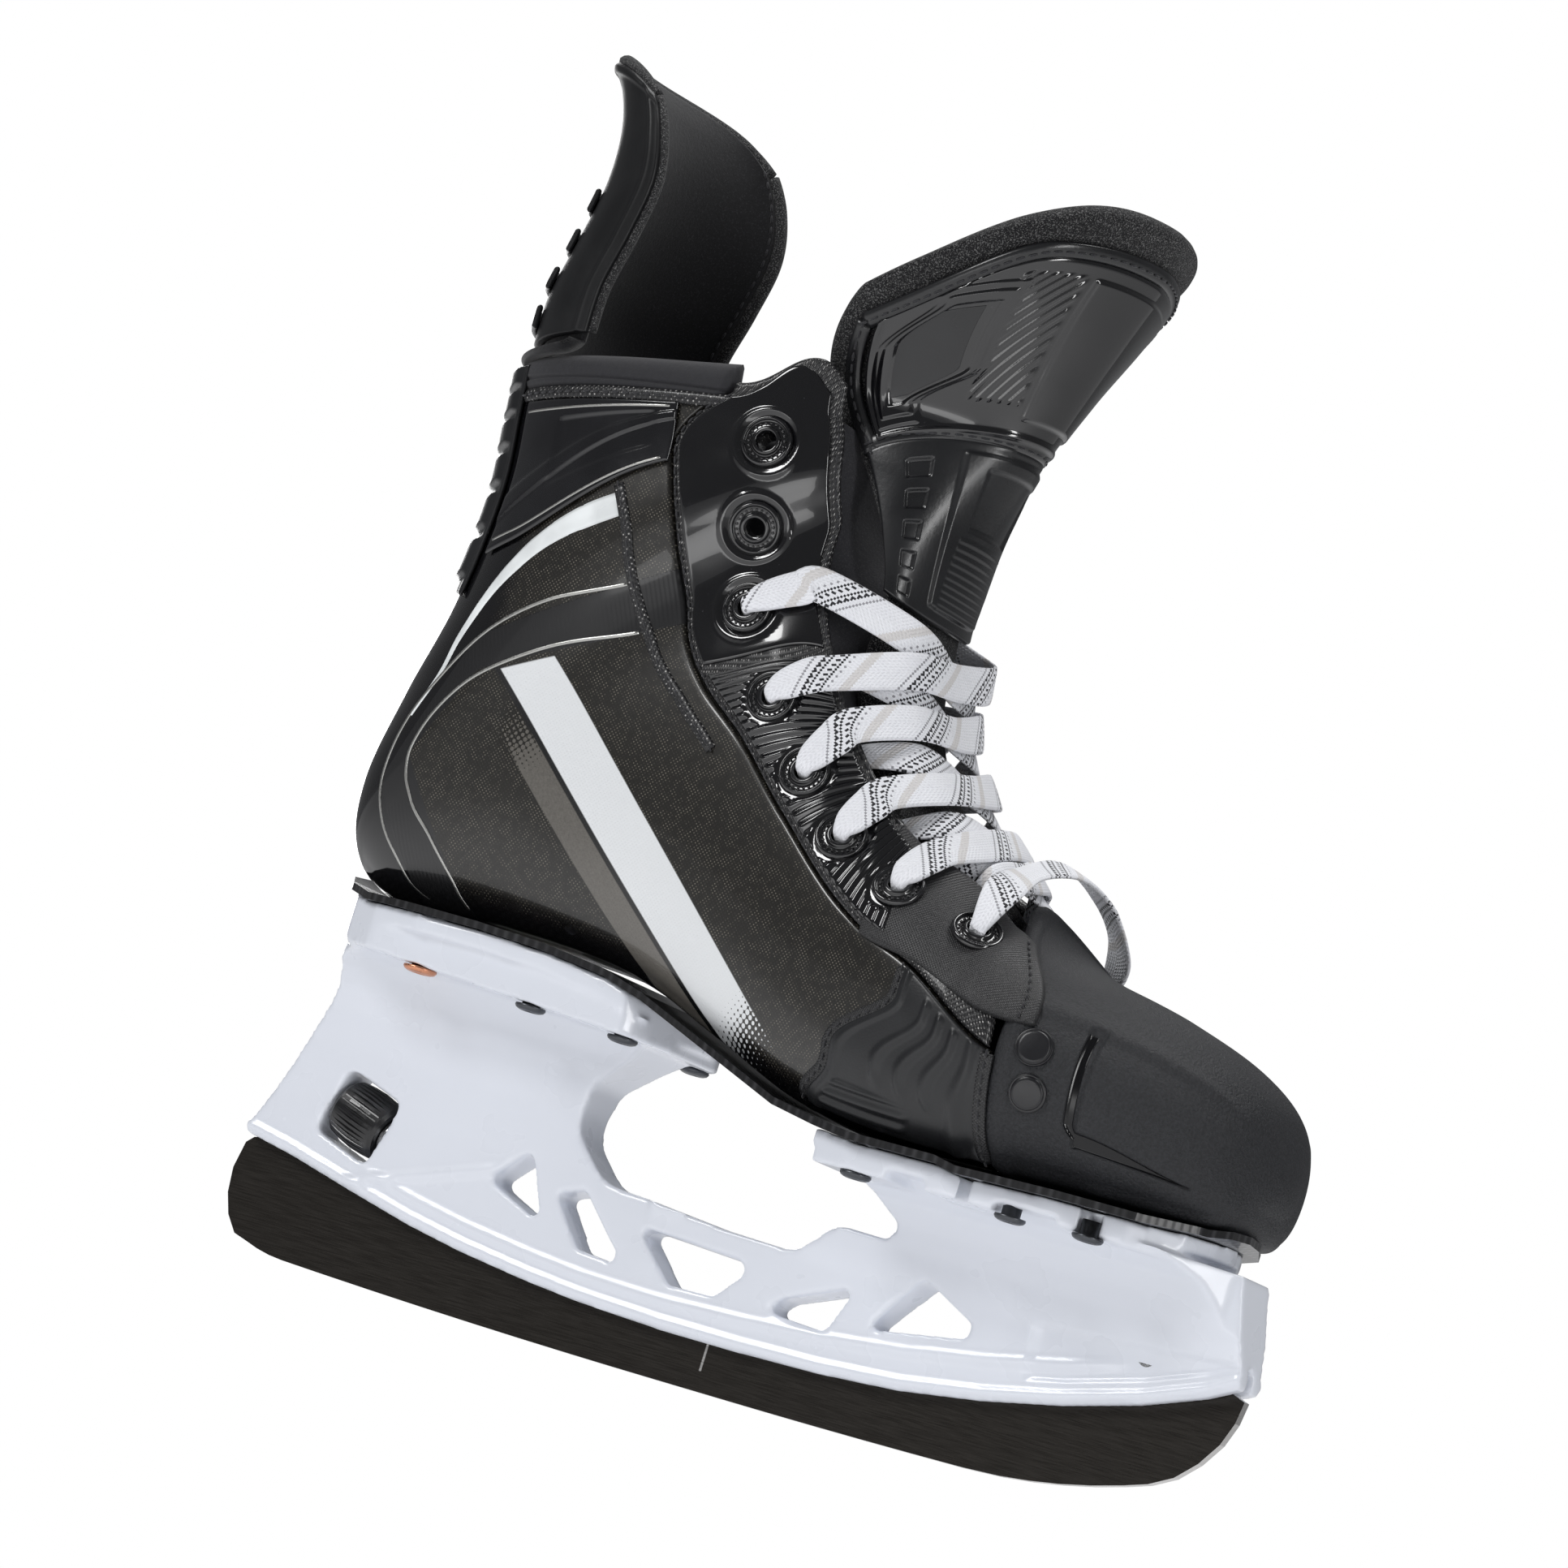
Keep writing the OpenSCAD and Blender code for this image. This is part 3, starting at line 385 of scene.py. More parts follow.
def shell(name, place, count, outer, inner, finish, rim=1.2, relief=None, tag=None):
    """Closed plate between two offsets of a surface, with a round rim.

    place(u, v, off) gives points for u and v from 0 to 1. relief(u, v, x, y) gives extra
    height on the outside, with x across and y along in mm. tag(u, v, d) gives three values
    per point for the finish, with d the distance to the rim.
    """
    rows, cols = count
    probe_u, probe_v = np.meshgrid(np.linspace(0, 1, 24), np.linspace(0, 1, 24), indexing="ij")
    probe = place(probe_u, probe_v, np.full_like(probe_u, outer))
    along = path_lengths(probe, 0)[-1].mean()
    across = path_lengths(probe, 1)[:, -1]
    u = spread(rows, along, rim)
    widths = np.maximum(np.interp(u, probe_u[:, 0], across), 0.5)
    v = np.array([spread(cols, width, rim) for width in widths])
    u = np.repeat(u[:, None], v.shape[1], axis=1)
    x, y = v * widths[:, None], u * along
    d = np.minimum(np.minimum(x, widths[:, None] - x), np.minimum(y, along - y))
    round_off = np.sqrt(1 - (1 - np.clip(d / rim, 0, 1)) ** 2)
    middle = (outer + inner) / 2
    top = outer if relief is None else outer + relief(u, v, x, y)
    out_points = place(u, v, middle + (top - middle) * round_off)
    in_points = place(u, v, middle + (inner - middle) * round_off)
    flat = np.stack([path_lengths(out_points, 1), path_lengths(out_points, 0), d], -1)
    index = np.arange(u.size).reshape(u.shape)
    border = np.ones(u.shape, bool)
    border[1:-1, 1:-1] = False
    under = index.copy()
    under[~border] = u.size + np.arange((~border).sum())
    keep = ~border
    points = np.concatenate([out_points.reshape(-1, 3), in_points[keep]])
    flat = np.concatenate([flat.reshape(-1, 3), flat[keep]])
    if tag is not None:
        tag = np.stack(np.broadcast_arrays(*tag(u, v, d)), -1)
        tag = np.concatenate([tag.reshape(-1, 3), tag[keep]])
    return make(name, points, quads(index) + quads(under[:, ::-1]), finish, flat, tag)


def sheet(name, top, base, finish):
    """Closed sheet between two equal grids of points."""
    index = np.arange(top[..., 0].size).reshape(top.shape[:2])
    below = index + index.size
    faces = quads(index) + quads(below[:, ::-1])
    for a, b in ((index[0], below[0]), (index[-1][::-1], below[-1][::-1]),
                 (index[:, 0][::-1], below[:, 0][::-1]), (index[:, -1], below[:, -1])):
        faces += quads(np.stack([a, b]))
    return make(name, np.concatenate([top.reshape(-1, 3), base.reshape(-1, 3)]), faces, finish)


def run(points):
    """Length along a line of points up to each of them."""
    return np.concatenate([[0], np.cumsum(np.linalg.norm(np.diff(points, axis=0), axis=1))])


def trace(place, controls, off, per_row=8):
    """Points, normals and directions of a smooth line through surface coordinates."""
    rows = resample(controls, per_row)
    a, b = rows[:, 0], rows[:, 1]
    points = place(a, b, np.full(len(a), float(off)))
    normals = unit(place(a, b, np.full(len(a), off + 1.0)) - points)
    return points, normals, unit(np.gradient(points, axis=0))


# Length in mm of the steps along a strip
STRIP_STEP = 1.5


def even(line, pitch):
    """The line's points, normals and directions again, at equal steps of about pitch mm."""
    along = run(line[0])
    at = np.linspace(0, along[-1], max(int(along[-1] / pitch) + 1, 2))
    points, normals = (np.stack([np.interp(at, along, v[:, k]) for k in range(3)], -1)
                       for v in line[:2])
    return points, unit(normals), unit(np.gradient(points, axis=0))


def sweep(name, line, width, height, finish, sides=12, flatness=2.6):
    """Flat strip with round edges along a line. width and height are numbers or one per point."""
    points, normals, ways = line
    n = len(points)
    width, height = np.broadcast_to(width, n), np.broadcast_to(height, n)
    across = unit(np.cross(ways, normals))
    normals = unit(np.cross(across, ways))
    a = turn(sides)
    cx, cz = (np.sign(c) * np.abs(c) ** (2 / flatness) for c in (np.cos(a), np.sin(a)))
    ring = (points[:, None] + across[:, None] * (cx[None, :, None] * width[:, None, None] / 2)
            + normals[:, None] * (cz[None, :, None] * height[:, None, None] / 2))
    along = run(points)
    flat = np.stack(np.broadcast_arrays(cx * width[:, None] / 2, along[:, None], cz[None]), -1)
    index = np.arange(n * sides).reshape(n, sides)
    faces = quads(index, wrap=True) + fan(n * sides, index[0]) + fan(n * sides + 1, index[-1])
    points = np.concatenate([ring.reshape(-1, 3), points[[0, -1]]])
    flat = np.concatenate([flat.reshape(-1, 3), [[0, 0, 0], [0, along[-1], 0]]])
    return make(name, points, faces, finish, flat)


# Thread bead: its rings along the stitch, as place and share of the radius
BEAD = [(-1, 0.3), (-0.8, 0.8), (0, 1), (0.8, 0.8), (1, 0.3)]


def stitches(name, line, finish, pitch=3.0, length=2.2, radius=0.35, lift=0.1):
    """A row of sewn stitches along a line, as one mesh of small thread beads."""
    points, normals, ways = even(line, pitch)
    across = np.cross(ways, normals)
    sides = 6
    a = turn(sides)
    block = []
    for x, r in BEAD:
        ring = (ways[:, None] * (x * length / 2)
                + across[:, None] * (np.cos(a) * r * radius)[None, :, None]
                + normals[:, None] * (np.sin(a) * r * radius + lift)[None, :, None])
        block.append(points[:, None] + ring)
    block = np.stack(block, 1)
    count, rings = block.shape[:2]
    faces = []
    for k in range(count):
        index = np.arange(rings * sides).reshape(rings, sides) + k * rings * sides
        faces += quads(index, wrap=True) + [index[0].tolist(), index[-1].tolist()[::-1]]
    return make(name, block.reshape(-1, 3), faces, finish)


def lathe(profile, place, normal, sides=40):
    """Points and faces of a profile of (radius, height) turned about a normal at a place."""
    normal = unit(np.asarray(normal, float))
    side = unit(np.cross(normal, [0.31, 0.9, 0.11]))
    other = np.cross(normal, side)
    a = turn(sides)
    around = np.cos(a)[:, None] * side + np.sin(a)[:, None] * other
    points = np.concatenate([place + around * r + normal * h for r, h in profile])
    return points, quads(np.arange(len(profile) * sides).reshape(-1, sides), wrap=True)


def gather(parts):
    """Joins lists of (points, faces) into one."""
    points, faces, start = [], [], 0
    for p, f in parts:
        points.append(p)
        faces += [[k + start for k in face] for face in f]
        start += len(p)
    return np.concatenate(points), faces


def finish_piece(piece, body, slot, *nodes):
    """Puts a finished piece on its body, and hides the CAD nodes it stands for. slot is not used."""
    if "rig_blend" not in piece:
        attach(piece, body)
    if nodes:
        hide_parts(*nodes)
    return piece


def strip(name, body, slot, surface, rows, off, size, finish, per_row=8, sides=10):
    """A strip of some width and height, laid at off mm along a line on a surface."""
    line = even(trace(surface, rows, off, per_row), STRIP_STEP)
    return finish_piece(sweep(name, line, *size, finish, sides), body, slot)


def sewing(name, body, slot, surface, rows, off, size, finish, per_row=8):
    """Stitches on a surface. size is their pitch and length, and may add radius and lift."""
    line = trace(surface, rows, off, per_row)
    return finish_piece(stitches(name, line, finish, *size), body, slot)


def plate(name, body, slot, nodes, *shape):
    """A shell of that shape, put on its body. nodes are the CAD nodes it stands for."""
    return finish_piece(shell(name, *shape), body, slot, *nodes)


def applied(piece):
    """New mesh of a piece with its modifiers applied."""
    graph = bpy.context.evaluated_depsgraph_get()
    return bpy.data.meshes.new_from_object(piece.evaluated_get(graph), depsgraph=graph)


# -------------------------------------------------- finishes
class Finish:
    """A procedural material. Its calls make nodes, and take and give numbers or sockets."""

    def __init__(self, name, color, rough, metal=0.0, coat=0.0, coat_rough=0.06, sheen=0.0,
                 specular=0.5):
        self.material = bpy.data.materials.new(name)
        self.material.use_nodes = True
        self.material.diffuse_color = (*color, 1)
        self.tree = self.material.node_tree
        self.shader = self.tree.nodes["Principled BSDF"]
        self.paint(color)
        self.set("Roughness", rough)
        self.set("Metallic", metal)
        self.set("Coat Weight", coat)
        self.set("Coat Roughness", coat_rough)
        self.set("Sheen Weight", sheen)
        self.set("Specular IOR Level", specular)
        self.height = None
        self.sources = {}

    def fill(self, socket, value):
        if isinstance(value, bpy.types.NodeSocket):
            self.tree.links.new(value, socket)
        elif isinstance(value, tuple) and len(value) == 3 and len(socket.default_value) == 4:
            socket.default_value = (*value, 1)
        else:
            socket.default_value = value

    def set(self, key, value):
        self.fill(self.shader.inputs[key], value)

    def paint(self, color):
        self.set("Base Color", color)

    def add(self, kind, inputs, out=0, **props):
        node = self.tree.nodes.new(kind)
        for key, value in props.items():
            setattr(node, key, value)
        for key, value in inputs.items():
            self.fill(node.inputs[key], value)
        return node.outputs[out]

    def op(self, kind, a, b=0.0, c=0.0):
        return self.add("ShaderNodeMath", {0: a, 1: b, 2: c}, operation=kind)

    def step(self, x, low, high, to_low=0.0, to_high=1.0):
        """Smooth change from to_low to to_high as x goes from low to high."""
        return self.add("ShaderNodeMapRange", {0: x, 1: low, 2: high, 3: to_low, 4: to_high},
                        interpolation_type="SMOOTHSTEP")

    def blend(self, f, a, b):
        return self.add("ShaderNodeMix", {0: f, 6: a, 7: b}, out=2, data_type="RGBA")

    def fold(self, kind, first, *others):
        for mask in others:
            first = self.op(kind, first, mask)
        return first

    def all_of(self, *masks):
        return self.fold("MULTIPLY", *masks)

    def any_of(self, *masks):
        return self.fold("MAXIMUM", *masks)

    def between(self, x, low, high, soft):
        """1 between low and high, with flanks of twice soft centred on both."""
        return self.all_of(self.step(x, low - soft, low + soft),
                           self.step(x, high + soft, high - soft))

    def vector(self, source):
        """Coordinates in mm: "object" in the skate's frame, "flat" or "place" from the mesh."""
        if source not in self.sources:
            if source == "object":
                out = self.tree.nodes.new("ShaderNodeTexCoord").outputs["Object"]
                out = self.add("ShaderNodeVectorMath", {0: out, 3: 1 / MM}, operation="SCALE")
            else:
                out = self.add("ShaderNodeAttribute", {}, out="Vector", attribute_name=source)
            self.sources[source] = out
        return self.sources[source]

    def axes(self, source):
        key = source + " axes"
        if key not in self.sources:
            node = self.tree.nodes.new("ShaderNodeSeparateXYZ")
            self.fill(node.inputs[0], self.vector(source))
            self.sources[key] = list(node.outputs)
        return self.sources[key]

    def noise(self, scale, detail=2.0, source="object", stretch=(1, 1, 1), rough=0.5):
        """Noise with scale features per mm."""
        at = self.add("ShaderNodeVectorMath", {0: self.vector(source), 1: stretch},
                      operation="MULTIPLY")
        return self.add("ShaderNodeTexNoise",
                        {"Vector": at, "Scale": scale, "Detail": detail, "Roughness": rough})

    def waves(self, x, pitch):
        """Ridges across x, from 0 to 1, pitch mm apart."""
        wave = self.op("SINE", self.op("MULTIPLY", x, 2 * math.pi / pitch))
        return self.op("MULTIPLY_ADD", wave, 0.5, 0.5)

    def crossed(self, a, b, pitch):
        """Little pads between two sets of slanting grooves."""
        return self.all_of(self.waves(self.op("ADD", a, b), pitch),
                           self.waves(self.op("SUBTRACT", a, b), pitch))

    def dots(self, a, b, pitch, radius):
        """Round dots on a staggered grid over a and b. radius is a share of the pitch."""
        squares = []
        for kind in ("ADD", "SUBTRACT"):
            cell = self.op("FRACT", self.op("DIVIDE", self.op(kind, a, b), pitch))
            x = self.op("SUBTRACT", cell, 0.5)
            squares.append(self.op("MULTIPLY", x, x))
        far = self.op("SQRT", self.op("ADD", *squares))
        return self.step(self.op("SUBTRACT", far, radius), 0.05, -0.05)

    def bump(self, height, depth):
        """Adds height, from 0 to 1, as relief depth mm deep."""
        inputs = {"Height": height, "Distance": depth * MM, "Strength": 1.0}
        if self.height is not None:
            inputs["Normal"] = self.height
        self.height = self.add("ShaderNodeBump", inputs)
        self.set("Normal", self.height)


def grained(name, color, rough, depth=0.03, scale=1.5, spread_rough=0.08, **more):
    """Moulded plastic: a fine grain, and a roughness and tone that wander a little."""
    f = Finish(name, color, rough, **more)
    drift = f.noise(0.06, 3)
    f.set("Roughness", f.step(drift, 0.3, 0.7, rough - spread_rough / 2, rough + spread_rough / 2))
    lighter = tuple(min(c * 1.25 + 0.001, 1) for c in color)
    f.paint(f.blend(f.step(drift, 0.35, 0.65), color, lighter))
    f.bump(f.noise(scale, 3), depth)
    return f


def metal_finish(name, color, rough, stretch=(1, 1, 1)):
    """Metal with fine marks drawn out along one axis, and duller handled places."""
    f = Finish(name, color, rough, metal=1.0)
    marks = f.noise(2.0, 4, stretch=stretch)
    f.set("Roughness", f.step(marks, 0.3, 0.7, rough * 0.8, rough * 1.35))
    f.paint(f.blend(f.noise(0.15, 3), color, tuple(c * 0.8 for c in color)))
    f.bump(marks, 0.01)
    return f


def runner_finish():
    """Dark coated steel, with the ice edge ground bright and one bare tick on the side."""
    dark, bright = (0.016, 0.0135, 0.011), (0.62, 0.61, 0.6)
    f = Finish("runner_steel", dark, 0.33, metal=0.55, coat=0.15, coat_rough=0.3)
    normal = f.add("ShaderNodeNewGeometry", {}, out="True Normal")
    side = f.add("ShaderNodeSeparateXYZ", {0: normal}, out=1)
    ground = f.step(f.op("ABSOLUTE", side), 0.8, 0.6)
    brushed = f.noise(0.8, 4, stretch=(0.15, 1, 4))
    x, _, z = f.axes("object")
    tick = f.all_of(f.step(f.op("ABSOLUTE", f.op("SUBTRACT", x, 2.0)), 0.4, 0.2),
                    f.step(z, 5.0, 5.3), f.step(z, 14.0, 13.6))
    bare = f.any_of(ground, tick)
    f.paint(f.blend(bare, f.blend(brushed, dark, (0.026, 0.022, 0.018)), bright))
    f.set("Metallic", f.step(bare, 0.0, 1.0, 0.55, 1.0))
    f.set("Roughness", f.step(brushed, 0.3, 0.7, 0.26, 0.4))
    f.bump(brushed, 0.008)
    return f


def woven(name, thread, glint_color, pitch, radius, rough=0.45, coat=0.0):
    """Coarse weave, with painted glints: bright specks painted on some of the crossings of the threads."""
    f = Finish(name, thread, rough, coat=coat)
    a, b, _ = f.axes("flat")
    # painted glints: a random share of the thread crossings is painted bright, as if it caught the light
    painted_glint = f.step(f.noise(0.9, 2, source="flat"), 0.42, 0.62)
    ground = f.blend(f.noise(0.3, 2), thread, tuple(c * 1.6 for c in thread))
    f.paint(f.blend(f.all_of(f.dots(a, b, pitch, radius), painted_glint), ground, glint_color))
    f.bump(f.crossed(a, b, pitch), 0.12)
    return f


def felt_finish(name, color, fleck, rough, sheen, scale, share, depth):
    """Felt or velour: a tangled nap with paler flecks."""
    f = Finish(name, color, rough, sheen=sheen, specular=0.2)
    nap = f.noise(scale, 5, rough=0.75)
    flecks = f.step(f.noise(scale * 2.3, 3, rough=0.8), share - 0.06, share + 0.05)
    f.paint(f.blend(flecks, f.blend(nap, color, tuple(c * 1.8 for c in color)), fleck))
    f.bump(nap, depth)
    return f


def quarter_finish():
    """Gloss shell with printed graphics: woven panels, two diagonal stripes and a satin band.

    The print is laid out in mm in the side view, x forward and z up.
    """
    gloss = (0.005, 0.005, 0.006)
    f = Finish("quarter_shell_print", gloss, 0.14, coat=0.5, coat_rough=0.05)
    x, _, z = f.axes("object")
    t = f.axes("place")[1]

    def weigh(kx, kz):
        return f.op("ADD", f.op("MULTIPLY", x, kx), f.op("MULTIPLY", z, kz))

    def side_of(x0, z0, x1, z1, soft=0.25):
        """Mask of what lies to the left of the line from the first point to the second."""
        length = math.hypot(x1 - x0, z1 - z0)
        nx, nz = -(z1 - z0) / length, (x1 - x0) / length
        beyond = f.op("MULTIPLY_ADD", z, nz, -(nx * x0 + nz * z0))
        return f.step(f.op("ADD", f.op("MULTIPLY", x, nx), beyond), -soft, soft)

    def left_of(*corners):
        """Mask of what lies to the left of every line from one corner to the next."""
        return f.all_of(*(side_of(*a, *b) for a, b in zip(corners, corners[1:])))

    inside = left_of((-57, 176), (-99, 157), (-114, 133), (-88, 98))
    around = left_of((-63, 187), (-102, 165), (-122, 125), (-103, 97))
    above = f.all_of(side_of(-102, 165, -63, 187), side_of(-96, 300, -96, 100, 4))
    woven_part = f.all_of(f.any_of(inside, above), f.step(t, 0.1, 0.2))
    # coordinates along and across the two diagonal stripes
    slope = math.radians(-41.8)
    along = weigh(math.cos(slope), math.sin(slope))
    across = weigh(-math.sin(slope), math.cos(slope))
    # the woven panels: a printed weave whose crossings carry painted glints, bright specks at random
    weave = f.dots(x, z, 1.15, 0.2)
    painted_glint = f.step(f.noise(0.5, 2), 0.38, 0.66)
    brown = f.blend(f.noise(0.05, 2), (0.0065, 0.0057, 0.0044), (0.011, 0.0095, 0.007))
    woven_with_glints = f.blend(f.all_of(weave, painted_glint), brown, (0.17, 0.155, 0.125))
    satin = f.all_of(around, f.op("SUBTRACT", 1.0, inside))
    ground = f.blend(satin, f.blend(woven_part, gloss, woven_with_glints), (0.008, 0.008, 0.009))

    def stripe(low_edge, high_edge):
        return f.all_of(f.between(across, low_edge, high_edge, 0.2),
                        side_of(-59, 173.5, -101, 154.5), f.step(t, 0.03, 0.06))

    # the white stripe breaks up into dots at its front end, the grey one at its rear end
    fade = f.step(along, -72, -44, 0.8, 0.0)
    white = f.all_of(stripe(57.0, 71.0),
                     f.any_of(f.dots(x, z, 2.2, fade), f.step(along, -71, -73)))
    early = f.step(along, -172, -138, 0.0, 0.8)
    grey = f.all_of(stripe(48.0, 55.6),
                    f.any_of(f.dots(x, z, 2.0, early), f.step(along, -140, -138)))
    shade = f.blend(f.step(along, -140, -80), (0.075, 0.07, 0.062), (0.12, 0.112, 0.1))
    frame_line = f.all_of(f.between(across, 55.6, 57.0, 0.2), inside)
    ground = f.blend(frame_line, ground, gloss)
    ground = f.blend(grey, ground, f.blend(f.noise(1.5, 2), shade, (0.16, 0.15, 0.135)))
    f.paint(f.blend(white, ground, (0.78, 0.8, 0.82)))
    f.set("Roughness", f.step(f.any_of(woven_part, satin), 0.0, 1.0, 0.13, 0.34))
    ribs = f.all_of(f.waves(f.op("ADD", x, f.op("MULTIPLY", z, 0.4)), 1.3), satin,
                    f.step(f.noise(0.03, 1), 0.4, 0.6))
    f.bump(f.any_of(ribs, f.all_of(weave, woven_part)), 0.05)
    f.bump(f.noise(0.05, 2), 0.12)
    return f


def lace_finish():
    """Flat braid: herringbone of white yarns with slanting rows of dark and beige ticks, and painted shade
    in the gaps between the yarns.
    """
    f = Finish("lace_braid", (0.8, 0.81, 0.84), 0.75, sheen=0.25, specular=0.3)
    a, y, _ = f.axes("flat")
    yarn = 0.62
    # added before a remainder is taken, so that it is never negative
    shift, repeat = 6000.0, 46.0
    slant = f.op("ADD", y, f.op("ABSOLUTE", a))
    thread = f.all_of(f.waves(slant, yarn * 2), f.waves(f.op("SUBTRACT", a, 0.3), yarn * 1.2))
    # stair steps: places are rounded to whole yarns before the rows are drawn
    ya, yy = (f.op("ROUND", f.op("DIVIDE", value, yarn)) for value in (a, y))
    lane = f.op("MODULO", f.op("ADD", f.op("ADD", ya, yy), shift), repeat)

    def ticks(first, last):
        return f.between(lane, first - 0.5, last + 0.5, 0.1)

    even_yarn = f.step(f.op("MODULO", f.op("ADD", ya, shift), 2.0), 0.4, 0.6)
    odd_yarn = f.op("SUBTRACT", 1.0, even_yarn)
    black = f.any_of(f.all_of(f.any_of(ticks(1, 2), ticks(7, 8)), even_yarn),
                     ticks(4, 4), ticks(10, 10), ticks(1, 1))
    grey = f.any_of(f.all_of(ticks(13, 13), odd_yarn), ticks(43, 43))
    color = f.blend(f.noise(0.25, 2), (0.82, 0.83, 0.88), (0.9, 0.91, 0.95))
    color = f.blend(f.op("MULTIPLY", ticks(19, 23), 0.55), color, (0.58, 0.54, 0.5))
    color = f.blend(f.op("MULTIPLY", grey, 0.8), color, (0.2, 0.2, 0.22))
    color = f.blend(black, color, (0.012, 0.012, 0.016))
    # painted shade: the gaps between the yarns are blended towards a mid grey, which darkens the white yarns
    # there
    gap_shade = f.step(f.waves(f.op("SUBTRACT", y, a), yarn * 1.4), 0.0, 0.25, 0.72, 1.0)
    f.paint(f.blend(gap_shade, f.blend(0.35, color, (0.4, 0.4, 0.43)), color))
    f.bump(thread, 0.16)
    f.bump(f.noise(3.0, 3), 0.04)
    return f


def facing_finish():
    """Deep black gloss that undulates a little, with a trace of dust."""
    f = Finish("facing_gloss", (0.004, 0.004, 0.005), 0.1, coat=0.8, coat_rough=0.03)
    f.set("Roughness", f.step(f.noise(0.07, 3), 0.3, 0.7, 0.08, 0.16))
    f.bump(f.noise(0.045, 2), 0.18)
    dust = f.step(f.noise(0.8, 2, rough=0.8), 0.7, 0.76)
    f.paint(f.blend(f.op("MULTIPLY", dust, 0.3), (0.004, 0.004, 0.005), (0.08, 0.08, 0.09)))
    return f


def toe_finish():
    """Pebbled plastic with a smooth glossy accent sunk into each side wall."""
    dull = (0.0125, 0.0132, 0.0155)
    f = Finish("toe_cap_grain", dull, 0.5, specular=0.4)
    s, t, _ = f.axes("place")
    a = f.op("ABSOLUTE", t)
    bend = f.op("MULTIPLY_ADD", f.step(a, 0.36, 0.26), -0.22, 3.0)
    rear = f.op("SUBTRACT", s, bend)
    upright = f.all_of(f.step(rear, -0.02, 0.0), f.step(rear, 0.09, 0.07),
                       f.step(a, 0.3, 0.31), f.step(a, 0.66, 0.64))
    tip = f.step(s, 1.5, 2.9, 0.285, 0.335)
    foot = f.all_of(f.step(a, 0.28, 0.285), f.step(f.op("SUBTRACT", a, tip), 0.004, -0.004),
                    f.step(s, 1.5, 1.55), f.step(s, 3.0, 2.95))
    accent = f.any_of(upright, foot)
    grain = f.noise(1.3, 4, rough=0.65)
    pebbles = f.blend(f.step(grain, 0.35, 0.7), dull, (0.024, 0.025, 0.029))
    f.paint(f.blend(accent, pebbles, (0.004, 0.004, 0.005)))
    f.set("Roughness", f.step(accent, 0.0, 1.0, 0.5, 0.16))
    f.bump(f.all_of(grain, f.op("SUBTRACT", 1.0, accent)), 0.5)
    return f


def holder_finish():
    """White moulded plastic: even colour, and a gloss that wanders a little."""
    f = Finish("holder_plastic", (0.74, 0.77, 0.84), 0.3, coat=0.35, coat_rough=0.1)
    f.set("Roughness", f.step(f.noise(0.06, 3), 0.3, 0.7, 0.25, 0.36))
    f.bump(f.noise(0.6, 3), 0.012)
    return f


def composite_finish():
    """Thin black composite plate with a twill under its lacquer."""
    f = Finish("outsole_composite", (0.01, 0.01, 0.011), 0.3, coat=0.7)
    x, y, _ = f.axes("object")
    twill = f.crossed(x, y, 3.0)
    f.paint(f.blend(twill, (0.006, 0.006, 0.007), (0.035, 0.035, 0.038)))
    f.bump(twill, 0.05)
    return f


